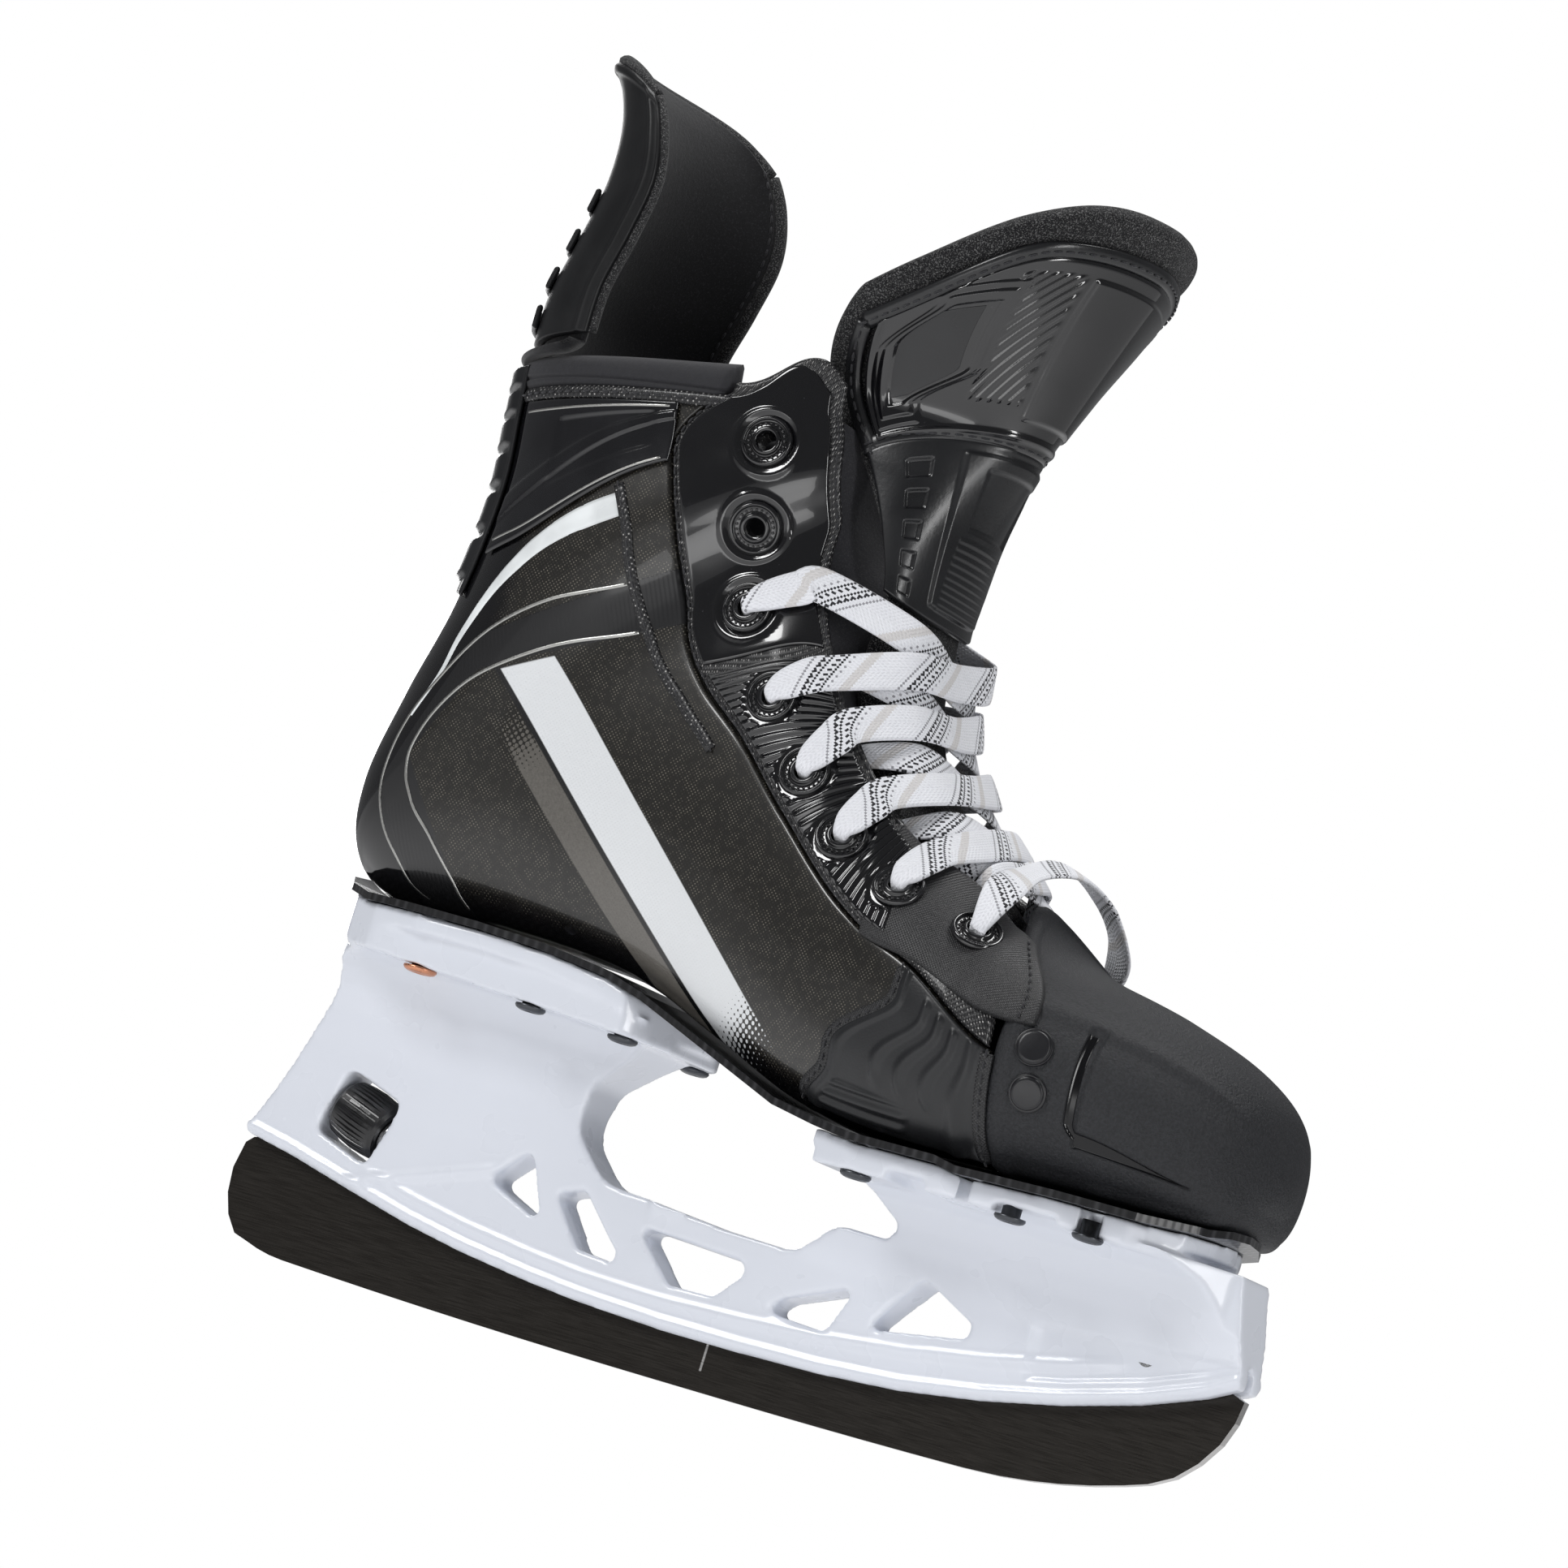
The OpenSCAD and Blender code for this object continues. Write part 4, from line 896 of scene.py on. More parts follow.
def make_finishes():
    return {
        "white": holder_finish(),
        "runner": runner_finish(),
        "steel": metal_finish("bolt_steel", (0.6, 0.61, 0.63), 0.24, (1, 6, 6)),
        "dial": grained("dial_plastic", (0.007, 0.007, 0.008), 0.3, 0.03, 2.0, coat=0.2),
        "composite": composite_finish(),
        "dark_rivet": metal_finish("rivet_dark", (0.1, 0.105, 0.115), 0.35),
        "copper": metal_finish("rivet_copper", (0.72, 0.33, 0.2), 0.3),
        "quarter": quarter_finish(),
        "silver": metal_finish("piping_silver", (0.5, 0.5, 0.48), 0.34),
        "white_print": grained("print_white", (0.76, 0.79, 0.8), 0.3, 0.01, 1.0, coat=0.3),
        "gloss": facing_finish(),
        "mesh": woven("binding_mesh", (0.006, 0.006, 0.007), (0.42, 0.41, 0.4), 1.5, 0.2,
                      coat=0.2),
        "weave": woven("tab_weave", (0.012, 0.012, 0.013), (0.06, 0.06, 0.062), 0.9, 0.25),
        "thread": felt_finish("thread_black", (0.014, 0.014, 0.016), (0.09, 0.09, 0.1),
                              0.6, 0.2, 3.0, 0.6, 0.08),
        "eyelet": grained("eyelet_enamel", (0.006, 0.006, 0.007), 0.14, 0.02, 0.8, coat=0.6),
        "toe": toe_finish(),
        "stud": grained("stud_plastic", (0.009, 0.009, 0.011), 0.34, 0.03, 1.0),
        "rubber": grained("overlay_rubber", (0.0115, 0.012, 0.0135), 0.42, 0.05, 1.6),
        "satin": grained("satin_plastic", (0.009, 0.0093, 0.0105), 0.3, 0.04, 0.9, coat=0.25,
                         coat_rough=0.2),
        "guard": grained("guard_plastic", (0.006, 0.0062, 0.007), 0.42, 0.03, 0.7, specular=0.35),
        "badge": grained("badge_plastic", (0.006, 0.006, 0.0075), 0.18, 0.05, 0.4, coat=0.6),
        "lining": felt_finish("boot_lining", (0.02, 0.02, 0.023), (0.055, 0.055, 0.06),
                              0.85, 0.2, 1.0, 0.6, 0.2),
        "padding": felt_finish("collar_pad", (0.0165, 0.0165, 0.019), (0.036, 0.036, 0.04),
                               0.62, 0.15, 0.8, 0.66, 0.12),
        "felt": felt_finish("tongue_felt", (0.006, 0.006, 0.007), (0.2, 0.2, 0.2),
                            0.95, 0.1, 1.1, 0.58, 0.6),
        "fleck": felt_finish("guard_edge_felt", (0.014, 0.014, 0.015), (0.2, 0.2, 0.2),
                             0.9, 0.12, 1.2, 0.58, 0.5),
        "velour": felt_finish("guard_velour", (0.007, 0.007, 0.008), (0.026, 0.026, 0.03),
                              0.8, 0.25, 0.9, 0.6, 0.15),
        "knit": woven("toe_knit", (0.012, 0.012, 0.014), (0.05, 0.05, 0.055), 1.6, 0.3, rough=0.8),
        "lace": lace_finish(),
        "tip": grained("lace_tip_plastic", (0.02, 0.02, 0.022), 0.25, 0.02, 1.0),
        "black": Finish("plain_black", (0.008, 0.008, 0.0095), 0.4),
    }


# -------------------------------------------------- holder, runner and fasteners
def smoothed_copy(node, name, voxel, passes):
    """Points and faces of a CAD node, remeshed so that its corners turn into small radii."""
    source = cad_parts[node]
    piece = bpy.data.objects.new(name, source.data.copy())
    bpy.context.scene.collection.objects.link(piece)
    remesh = piece.modifiers.new("remesh", "REMESH")
    remesh.mode = "VOXEL"
    remesh.voxel_size = voxel * MM
    soften = piece.modifiers.new("soften", "SMOOTH")
    soften.factor = 0.5
    soften.iterations = passes
    mesh = applied(piece)
    bpy.data.objects.remove(piece)
    co = np.zeros(len(mesh.vertices) * 3, np.float32)
    mesh.vertices.foreach_get("co", co)
    faces = [list(p.vertices) for p in mesh.polygons]
    bpy.data.meshes.remove(mesh)
    return co.reshape(-1, 3).astype(float) / MM, faces


# Height of the holder's lower edge along x, from tail to toe
GRIP_X = [-141, -126.6, -107.4, -88.5, -72, -52, -36, -12, 12, 34, 56, 78, 99, 119.5, 135, 143.5]
GRIP_Z = [31, 28.3, 23.8, 19.6, 16.8, 14.4, 13, 12, 12, 12.5, 14, 17.2, 21.5, 27, 32.6, 36.8]


def make_holder():
    """The moulded holder: soft corners, swept ridges along its rail and a sunk panel at the toe."""
    points, faces = smoothed_copy("holder", "holder_source", 0.75, 5)
    x, y, z = points.T
    rise = z - np.interp(x, GRIP_X, GRIP_Z)
    wall = ease((np.abs(y) - 3.4) / 0.8) * ease((56 - z) / 6)
    lip = 0.9 * hump(rise, 2.2, 2.2)
    sweep_high = 6.6 + 3.5 * ease((x + 40) / 120)
    ridge = 0.7 * hump(rise, sweep_high, 2.4) * band(x, -96, 96, 20)
    fan = 0.7 * hump(z - 30 - 0.32 * (x + 96), 0, 2.6) * band(x, -104, -72, 10)
    slot_edge = 38 + 0.06 * (x - 84)
    panel = -0.9 * band(x, 90, 150, 3) * band(z, 0, slot_edge, 1.4) * ease((rise - 5) / 2)
    y += np.sign(y) * wall * (lip + ridge + fan + panel)
    piece = make("holder_moulding", np.stack([x, y, z], -1), faces, "white")
    finish_piece(piece, "boot", "white_plastic", "holder")


def refinish(node, finish, bevel=0.0):
    """A better material on a CAD node, and slightly rounded corners."""
    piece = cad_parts[node]
    material = FINISH[finish].material
    for slot in piece.material_slots:
        slot.material = material
    if not piece.material_slots:
        piece.data.materials.append(material)
    if bevel:
        corner = piece.modifiers.new("corner", "BEVEL")
        corner.width = bevel * MM
        corner.segments = 2
        corner.limit_method = "ANGLE"
        corner.angle_limit = math.radians(40)


def rivet_heads(name, node, radius, slot):
    """Rolled rivet heads with a hollow middle, under the flanges where the CAD rivets are."""
    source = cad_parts[node]
    spots, cell = {}, 12
    for p in np.array([v.co for v in source.data.vertices]) / MM:
        key = (round(p[0] / cell), round(p[1] / cell))
        near = [k for k in spots if abs(k[0] - key[0]) <= 1 and abs(k[1] - key[1]) <= 1]
        spots.setdefault(near[0] if near else key, []).append(p)
    parts = []
    profile = [(0.02, 1.0), (1.1, 1.0), (1.3, 0.5), (1.7, -0.15), (2.3, -0.35),
               (0.7 * radius, -0.25), (0.9 * radius, 0.1), (radius, 0.7), (radius - 0.1, 1.2),
               (2.4, 1.3), (2.4, 5.0), (0.02, 5.0)]
    for group in spots.values():
        group = np.array(group)
        place = np.append((group[:, :2].min(0) + group[:, :2].max(0)) / 2, group[:, 2].min())
        parts.append(lathe(profile, place, (0, 0, 1)))
    finish_piece(make(name, *gather(parts), slot), "boot", slot, node)


def make_running_gear():
    make_holder()
    for node, key, bevel in (("runner", "runner", 0.15), ("front_hook_pin", "steel", 0.3),
                             ("dial", "dial", 0.12), ("dial_washers", "steel", 0.15),
                             ("drawbolt", "steel", 0.15), ("outsole", "composite", 0.0)):
        refinish(node, key, bevel)
    for which, radius, key in (("front", 4.0, "dark_rivet"), ("rear", 4.0, "dark_rivet"),
                               ("copper", 4.4, "copper")):
        rivet_heads(f"{which}_rivet_heads", f"{which}_rivets", radius, key)


# -------------------------------------------------- boot shell
# Piping on the outer side, as section and t: it bounds the satin band round the heel
PIPE_HIGH = [[12.40, 0.554], [12.75, 0.488], [12.94, 0.438], [13.0, 0.38], [12.92, 0.333],
             [12.67, 0.29], [12.3, 0.245], [11.64, 0.214], [10.95, 0.2], [10.22, 0.174],
             [9.74, 0.11], [9.35, 0.05]]
PIPE_LOW = [[10.94, 0.571], [11.62, 0.506], [11.99, 0.446], [12.2, 0.366], [12.05, 0.31],
            [11.70, 0.275], [11.3, 0.265], [10.76, 0.26], [10.06, 0.241], [9.57, 0.177],
            [9.25, 0.07]]
# White print under the collar badge: section, t and width
WHITE_BAND = [[14.28, 0.485, 6.4], [14.25, 0.44, 6.4], [14.17, 0.39, 5.4], [14.0, 0.345, 4.4],
              [13.7, 0.305, 3.2], [13.2, 0.285, 2.2], [12.7, 0.28, 1.4], [12.3, 0.25, 1.0]]
# Sewn seam between the quarter's print and the gloss strip behind the facing
QUARTER_SEAM = [[14.6, 0.475], [14.0, 0.505], [13.28, 0.533], [12.05, 0.568], [10.9, 0.58],
                [10.0, 0.572], [9.2, 0.548], [8.6, 0.525], [8.2, 0.508]]


# Width in mm of the groove between a facing and what lies behind it
FACING_GAP = 0.3
# Height in mm of the collar print over the skin, and its depth below it
PRINT_HEIGHT, PRINT_SINK = 0.18, 0.4


def on_side(controls, side):
    """The same rows on the outer (-1) or the inner (1) side."""
    rows = np.array(controls, float)
    rows[:, 1] *= side
    return rows


def make_quarter():
    coords = round_boot(lambda u, v: mix(SHELL_FRONT, SHELL_TOP, u), FACING_GAP)

    def relief(u, v, x, y):
        s, t = coords(u, v)
        a = np.abs(t)
        welt = 0.5 * hump(a, 0.075, 0.03) * ease(11.2 - s)
        return welt + 0.7 * hump(s, 10.6, 1.6) * hump(a, 0, 0.25)

    def tag(u, v, d):
        s, t = coords(u, v)
        return s, np.abs(t), d

    plate("quarter_shell_skin", "boot", "black_composite", ["quarter_shell"],
          over(skin, coords), (210, 230), 0, -2.8, "quarter", 1.4, relief, tag)
    for label, side in SIDES.items():
        for name, rows in (("upper", PIPE_HIGH), ("lower", PIPE_LOW)):
            strip(f"piping_{name}_{label}", "boot", "black_composite", skin, on_side(rows, side),
                  0.05, (0.95, 0.4), "silver", sides=8)
        print_on_skin(f"collar_print_{label}", on_side(WHITE_BAND, side), "white_print")
        rows = on_side(QUARTER_SEAM, side)
        strip(f"quarter_seam_{label}", "boot", "facing_plastic", skin, rows, 0.1, (3.0, 1.1),
              "mesh")
        sewing(f"quarter_seam_thread_{label}", "boot", "facing_plastic", skin, rows, 0.55,
               (2.6, 1.7, 0.3), "thread")


def print_on_skin(name, controls, finish):
    """Thin print that hugs the boot along a line, as wide as the third value of its rows."""
    rows = resample(controls, 10)
    points, normals, ways = trace(skin, controls[:, :2], 0.1, 10)
    across = unit(np.cross(ways, normals))
    cols = np.linspace(-1, 1, 7)
    grid = np.stack([points + across * (c * rows[:, 2:3] / 2) for c in cols], 1)
    # pull each point back to the skin along its own normal
    for _ in range(2):
        grid = grid - normals[:, None] * drop_to_skin(grid, rows[:, :2], normals)[..., None]
    lift = (1 - np.abs(cols)[None, :] ** 6) * PRINT_HEIGHT
    top = grid + normals[:, None] * lift[..., None]
    piece = sheet(name, top, grid - normals[:, None] * PRINT_SINK, finish)
    return finish_piece(piece, "boot", "black_composite")


def drop_to_skin(grid, rows, normals):
    """Signed height of a strip's points over the skin, found on the section through each row."""
    drop = np.zeros(grid.shape[:2])
    steps = np.linspace(-0.09, 0.09, 37)
    for k in range(len(rows)):
        s = rows[k, 0] + np.repeat(np.linspace(-0.5, 0.5, 21)[:, None], len(steps), 1)
        near = skin0(s, rows[k, 1] + np.repeat(steps[None], len(s), 0)).reshape(-1, 3)
        for c in range(grid.shape[1]):
            gap = grid[k, c] - near
            flat = gap - (gap @ normals[k])[:, None] * normals[k]
            best = np.argmin((flat**2).sum(1))
            drop[k, c] = gap[best] @ normals[k]
    return drop


def make_lining():
    coords = round_boot(lambda u, v: mix(SHELL_FRONT + 0.1, SHELL_TOP - 0.1, u), 1.5)
    liner = shell("ankle_lining", over(skin, coords), (90, 110), -3.4, -7.4, "lining", 1.8,
                  lambda u, v, x, y: -0.5 * hump(v, 0.5, 0.02))
    finish_piece(liner, "boot", "lining", "ankle_liner")

    def collar_s(u, v):
        return mix(SHELL_TOP + 0.08, COLLAR_TOP + 0.35 * np.abs(2 * v - 1) ** 2, u)

    # the pad is crowned: fullest at mid height
    pad = shell("collar_pad", over(skin, round_boot(collar_s, FACING_GAP)), (16, 150), 0.5, -7.6,
                "padding", 3.2,
                lambda u, v, x, y: 0.5 * np.sin(math.pi * u) - 0.7 * hump(y, 4.0, 0.9))
    finish_piece(pad, "boot", "padding", "collar_padding")
    for label, side in SIDES.items():
        rows = [[SHELL_TOP + 0.02 + 0.05 * k / 12, side * t]
                for k, t in enumerate(np.linspace(0.22, 0.66, 12))]
        strip(f"collar_binding_{label}", "boot", "padding", skin, rows, 0.5, (3.4, 1.6),
              "mesh", 4)
        sewing(f"collar_thread_{label}", "boot", "padding", skin, rows, 1.2, (3.0, 2.0),
               "thread", 4)


# Half widths of the sole along x, as in the CAD
SOLE = [[134, 0], [133, 9], [129, 20], [117, 31.5], [98, 39.5], [70, 43.5], [42, 41.5], [16, 35],
        [-12, 30], [-42, 29.5], [-75, 31], [-100, 31.5], [-114, 28.6], [-124, 22], [-130, 12],
        [-132, 0]]
SOLE_X = [-134, -126, -115, -80, -60, -42, -30, -12, 16, 30, 42, 66, 72, 98, 117, 129, 136]
SOLE_Z = [104, 99.5, 97, 96.6, 95.6, 93.4, 90, 83.3, 73.4, 71, 69.6, 69.6, 68.4, 69.3, 69.8,
          71.3, 75]


# Size of the sole, how far the footbed lies inside it, and the heights of its two faces
SOLE_HALF_LENGTH, SOLE_HALF_WIDTH, FOOTBED_INSET = 133, 43, 19.0
FOOTBED_TOP, FOOTBED_LOW = 13.4, 11.6


def make_footbed():
    """Cupped insole: its rim turns up a little at the heel and along the arch."""
    outline = resample(SOLE, 8)
    x = outline[:, 0] * (1 - FOOTBED_INSET / SOLE_HALF_LENGTH)
    half = np.maximum(outline[:, 1] * (1 - FOOTBED_INSET / SOLE_HALF_WIDTH), 0.05)
    across = np.linspace(-1, 1, 31)
    gx = np.repeat(x[:, None], len(across), 1)
    gy = half[:, None] * across
    base = np.interp(x, SOLE_X, SOLE_Z)[:, None]
    cup = 1.1 * np.abs(across)[None] ** 4 * ease((10 - x) / 60)[:, None]
    top = base + FOOTBED_TOP + cup
    low = base + FOOTBED_LOW + 0 * top
    rim = np.sqrt(1 - np.abs(across) ** 8)[None]
    middle = (top + low) / 2
    faces = [np.stack([gx, gy, middle + (z - middle) * rim], -1) for z in (top, low)]
    piece = sheet("insole", *faces, "lining")
    finish_piece(piece, "boot", "lining", "footbed")


# -------------------------------------------------- toe
# Length in mm of the toe cap, how far its tip bulges, and the shares of its closing rings
NOSE_LENGTH, NOSE_BULGE, NOSE_RINGS = 85.0, 1.6, (0.12, 0.35, 0.58, 0.78, 0.92)
# Radius in mm of its rounded rear edge, and the share of its length with closer rings there
NOSE_RIM, NOSE_EDGE = 1.2, 0.04
# Studs beside the first eyelets, as section and t, and their profile of radius and height
STUDS = [[3.46, 0.54], [3.42, 0.41]]
STUD = [(0.02, 1.0), (3.2, 1.0), (3.75, 0.92), (4.0, 0.7), (4.1, 0.35), (4.25, 0.3),
        (4.55, 0.45), (4.7, 0.1), (4.7, -1.2), (0.02, -1.2)]


def nose(name, outer, inner, s0, end, rows, cols, finish, relief=None):
    """Closed cap over the toe: rings from the rounded front to the rear edge."""
    t = np.linspace(-1, 1, cols, endpoint=False)
    u = np.concatenate([np.linspace(0, 1 - NOSE_EDGE, rows),
                        1 - NOSE_EDGE * np.array([0.7, 0.4, 0.15, 0])])
    uu, tt = np.meshgrid(u, t, indexing="ij")
    s = mix(s0, end(tt), uu)
    d = (1 - uu) * NOSE_LENGTH
    round_off = np.sqrt(1 - (1 - np.clip(d / NOSE_RIM, 0, 1)) ** 2)
    middle = (outer + inner) / 2
    high = outer + (relief(s, tt) if relief is not None else 0.0)
    blocks = []
    for face in (high, inner):
        grid = skin(s, tt, middle + (face - middle) * round_off)
        centre = grid[0].mean(0)
        rings = [centre + (grid[0] - centre) * f + np.array([NOSE_BULGE * (1 - f**2), 0, 0])
                 for f in NOSE_RINGS]
        blocks.append(np.concatenate([np.stack(rings), grid]))
    n_rows = blocks[0].shape[0]
    index = np.arange(n_rows * cols).reshape(n_rows, cols)
    under = index + index.size
    under[-1] = index[-1]
    points = np.concatenate([b.reshape(-1, 3) for b in blocks]
                            + [b[0].mean(0)[None] for b in blocks])
    faces = quads(index, wrap=True) + quads(under[:, ::-1], wrap=True)
    faces += fan(2 * index.size, index[0]) + fan(2 * index.size + 1, under[0])

    def per_point(*values):
        """Three values for each point of a face, again for the other face, and for the tips."""
        grid = np.stack(np.broadcast_arrays(*values), -1).reshape(-1, 3)
        return np.concatenate([grid, grid, np.zeros((2, 3))])

    along = np.linspace(0, 90, n_rows)[:, None]
    where = np.concatenate([np.repeat(s[:1], len(NOSE_RINGS), 0), s])
    flat = per_point(np.linspace(0, 240, cols), along, 0 * along)
    piece = make(name, points, faces, finish, flat, per_point(where, t, 0 * where))
    piece.data.validate()
    return piece


def make_toe():
    def relief(s, t):
        a = np.abs(t)
        # a soft crease along the top edge of the side wall, and a bumper lip at the sole
        crease = 0.9 * hump(a, 0.7 - 0.02 * (s - 2), 0.05) * ease((s - 0.8) / 0.8)
        lip = 0.8 * hump(a, 0.13, 0.05) * ease((s - 0.6) / 0.8)
        welt = 0.7 * hump(s, toe_end_at(t) - 0.12, 0.1)
        # a bent accent, sunk into the side wall
        bend_s = 3.0 - 0.225 * ease((0.36 - a) / 0.1)
        upright = (band(s, bend_s - 0.02 - 0.12 * (a - 0.3), bend_s + 0.06, 0.03)
                   * band(a, 0.31, 0.66, 0.01))
        foot = (band(a, 0.285, 0.285 + 0.05 * ease((s - 1.5) / 1.4), 0.008)
                * band(s, 1.5, 2.95, 0.05))
        return crease + lip + welt - 1.0 * np.maximum(upright, foot)

    cap = nose("toe_cap_shell", 1.1, -1.6, 0.0, toe_end_at, 150, 360, "toe", relief)
    finish_piece(cap, "boot", "toe_plastic", "toe_cap")

    def inner_end(t):
        return toe_end_at(t, TOE_END - 0.02)

    liner = nose("toe_knit_lining", -2.6, -5.0, 0.5, inner_end, 40, 90, "knit")
    finish_piece(liner, "boot", "lining", "toe_liner")
    parts = []
    for side in SIDES.values():
        for s, t in STUDS:
            line = trace(skin, [[s, side * t], [s + 0.01, side * t]], 1.2)
            parts.append(lathe(STUD, line[0][0], line[1][0], 48))
    studs = make("toe_cap_stud_caps", *gather(parts), "stud")
    finish_piece(studs, "boot", "stud_plastic", "toe_cap_studs")


def make_overlay(label, side):
    """Moulded rubber wrap between toe cap and quarter, with curved channels and low ribs."""
    def coords(u, v):
        s_rear = 5.45 - 0.62 * ease((v - 0.45) / 0.4) + 0.25 * ease((0.35 - v) / 0.3)
        s = mix(SHELL_FRONT + 0.03, s_rear, u)
        return s, mix(0.13, facing_back(s, 0.6), v)

    def relief(u, v, x, y):
        t = coords(u, v)[1]
        bow = 0.1 * np.sin(math.pi * np.clip((t - 0.15) / 0.5, 0, 1))
        channel = sum(0.9 * hump(u, 0.22 + bow + k, 0.06) for k in (0.0, 0.17, 0.34))
        channel = channel * ease((v - 0.3) / 0.12) * ease((0.97 - v) / 0.05)
        ribs = 0.8 * comb(x, 4.2) * band(u, 0.42, 0.88, 0.06) * band(v, 0.08, 0.26, 0.04)
        wall = 0.8 * hump(u, 0.12, 0.07)
        rim = 0.5 * hump(u, 0.93, 0.05)
        return np.maximum.reduce([channel, ribs, wall, rim])

    plate(f"forefoot_overlay_{label}_wrap", "boot", "overlay_rubber", [f"forefoot_overlay_{label}"],
          over(skin, coords, side), (90, 120), 1.7, 0.3, "rubber", 1.0, relief)
    v = np.linspace(0.02, 0.98, 12)
    for name, u, off in (("front", -0.02, 1.2), ("rear", 1.03, 0.6)):
        s, t = coords(np.full_like(v, u), v)
        rows = np.stack([s, side * t], -1)
        strip(f"overlay_{name}_binding_{label}", "boot", "overlay_rubber", skin, rows, off,
              (3.6, 1.5), "weave", 6)
        sewing(f"overlay_{name}_thread_{label}", "boot", "overlay_rubber", skin, rows, off + 0.75,
               (3.0, 2.0), "thread", 6)


def make_badge(label, side):
    """Blank glossy plate at the ankle with two silver edge lines."""
    def coords(u, v):
        t = mix(0.24, 0.545, v)
        return mix(14.28 + 0.55 * ease((t - 0.3) / 0.25), 16.18, u), t

    def relief(u, v, x, y):
        slash = 0.5 * band(u - 0.5 * v, 0.18, 0.3, 0.03)
        window = -0.4 * band(u, 0.3, 0.78, 0.04) * band(v, 0.34, 0.86, 0.03)
        return slash + window

    plate(f"ankle_badge_{label}_plate", "boot", "badge_plastic", [f"ankle_badge_{label}"],
          over(skin, coords, side), (50, 60), 1.5, 0.3, "badge", 1.0, relief)
    v = np.linspace(0.04, 0.96, 10)
    for name, u in (("low", 0.06), ("high", 0.9)):
        s, t = coords(np.full_like(v, u), v)
        strip(f"badge_line_{name}_{label}", "boot", "badge_plastic", skin,
              np.stack([s, side * t], -1), 1.5, (0.7, 0.45), "silver", 6, 8)


# -------------------------------------------------- facings and eyelets
# Eyelets from the toe up: section of each and its distance behind the throat's edge
EYELETS = [[4.44, 8], [5.33, 12], [6.2, 15.5], [6.94, 18], [7.88, 21.5], [9.6, 24],
           [12.3, 21.8], [14.95, 17.8]]
# Radius of the holes cut through the facing for them, and how far the cutter reaches each way
HOLE_RADIUS, HOLE_REACH = 3.3, 9


def eyelet_at(k, side):
    """Place of an eyelet on the boot's surface, and the direction it faces."""
    s, w = EYELETS[k]
    t = side * t_back(np.float64(s), w)
    return skin(s, t, 0.0), skin_n(np.float64(s), t)


def drill(piece, side):
    """Cuts the eyelet holes through a facing piece."""
    profile = [(0.01, -HOLE_REACH), (HOLE_RADIUS, -HOLE_REACH), (HOLE_RADIUS, HOLE_REACH),
               (0.01, HOLE_REACH)]
    parts = [lathe(profile, *eyelet_at(k, side), 28) for k in range(len(EYELETS))]
    cutter = make("cutter", *gather(parts), "black")
    cut = piece.modifiers.new("holes", "BOOLEAN")
    cut.operation = "DIFFERENCE"
    cut.solver = "EXACT"
    cut.object = cutter
    mesh = applied(piece)
    piece.modifiers.clear()
    old = piece.data
    piece.data = mesh
    mesh.materials.clear()
    mesh.materials.append(old.materials[0])
    bpy.data.objects.remove(cutter)
    mesh.shade_smooth()


def facing_spots(u, v, side):
    """Distance in mm from points of the facing to the nearest eyelet."""
    at = skin0(u, v)
    spots = [eyelet_at(k, side)[0] for k in range(len(EYELETS))]
    return np.min([np.linalg.norm(at - p, axis=-1) for p in spots], axis=0)


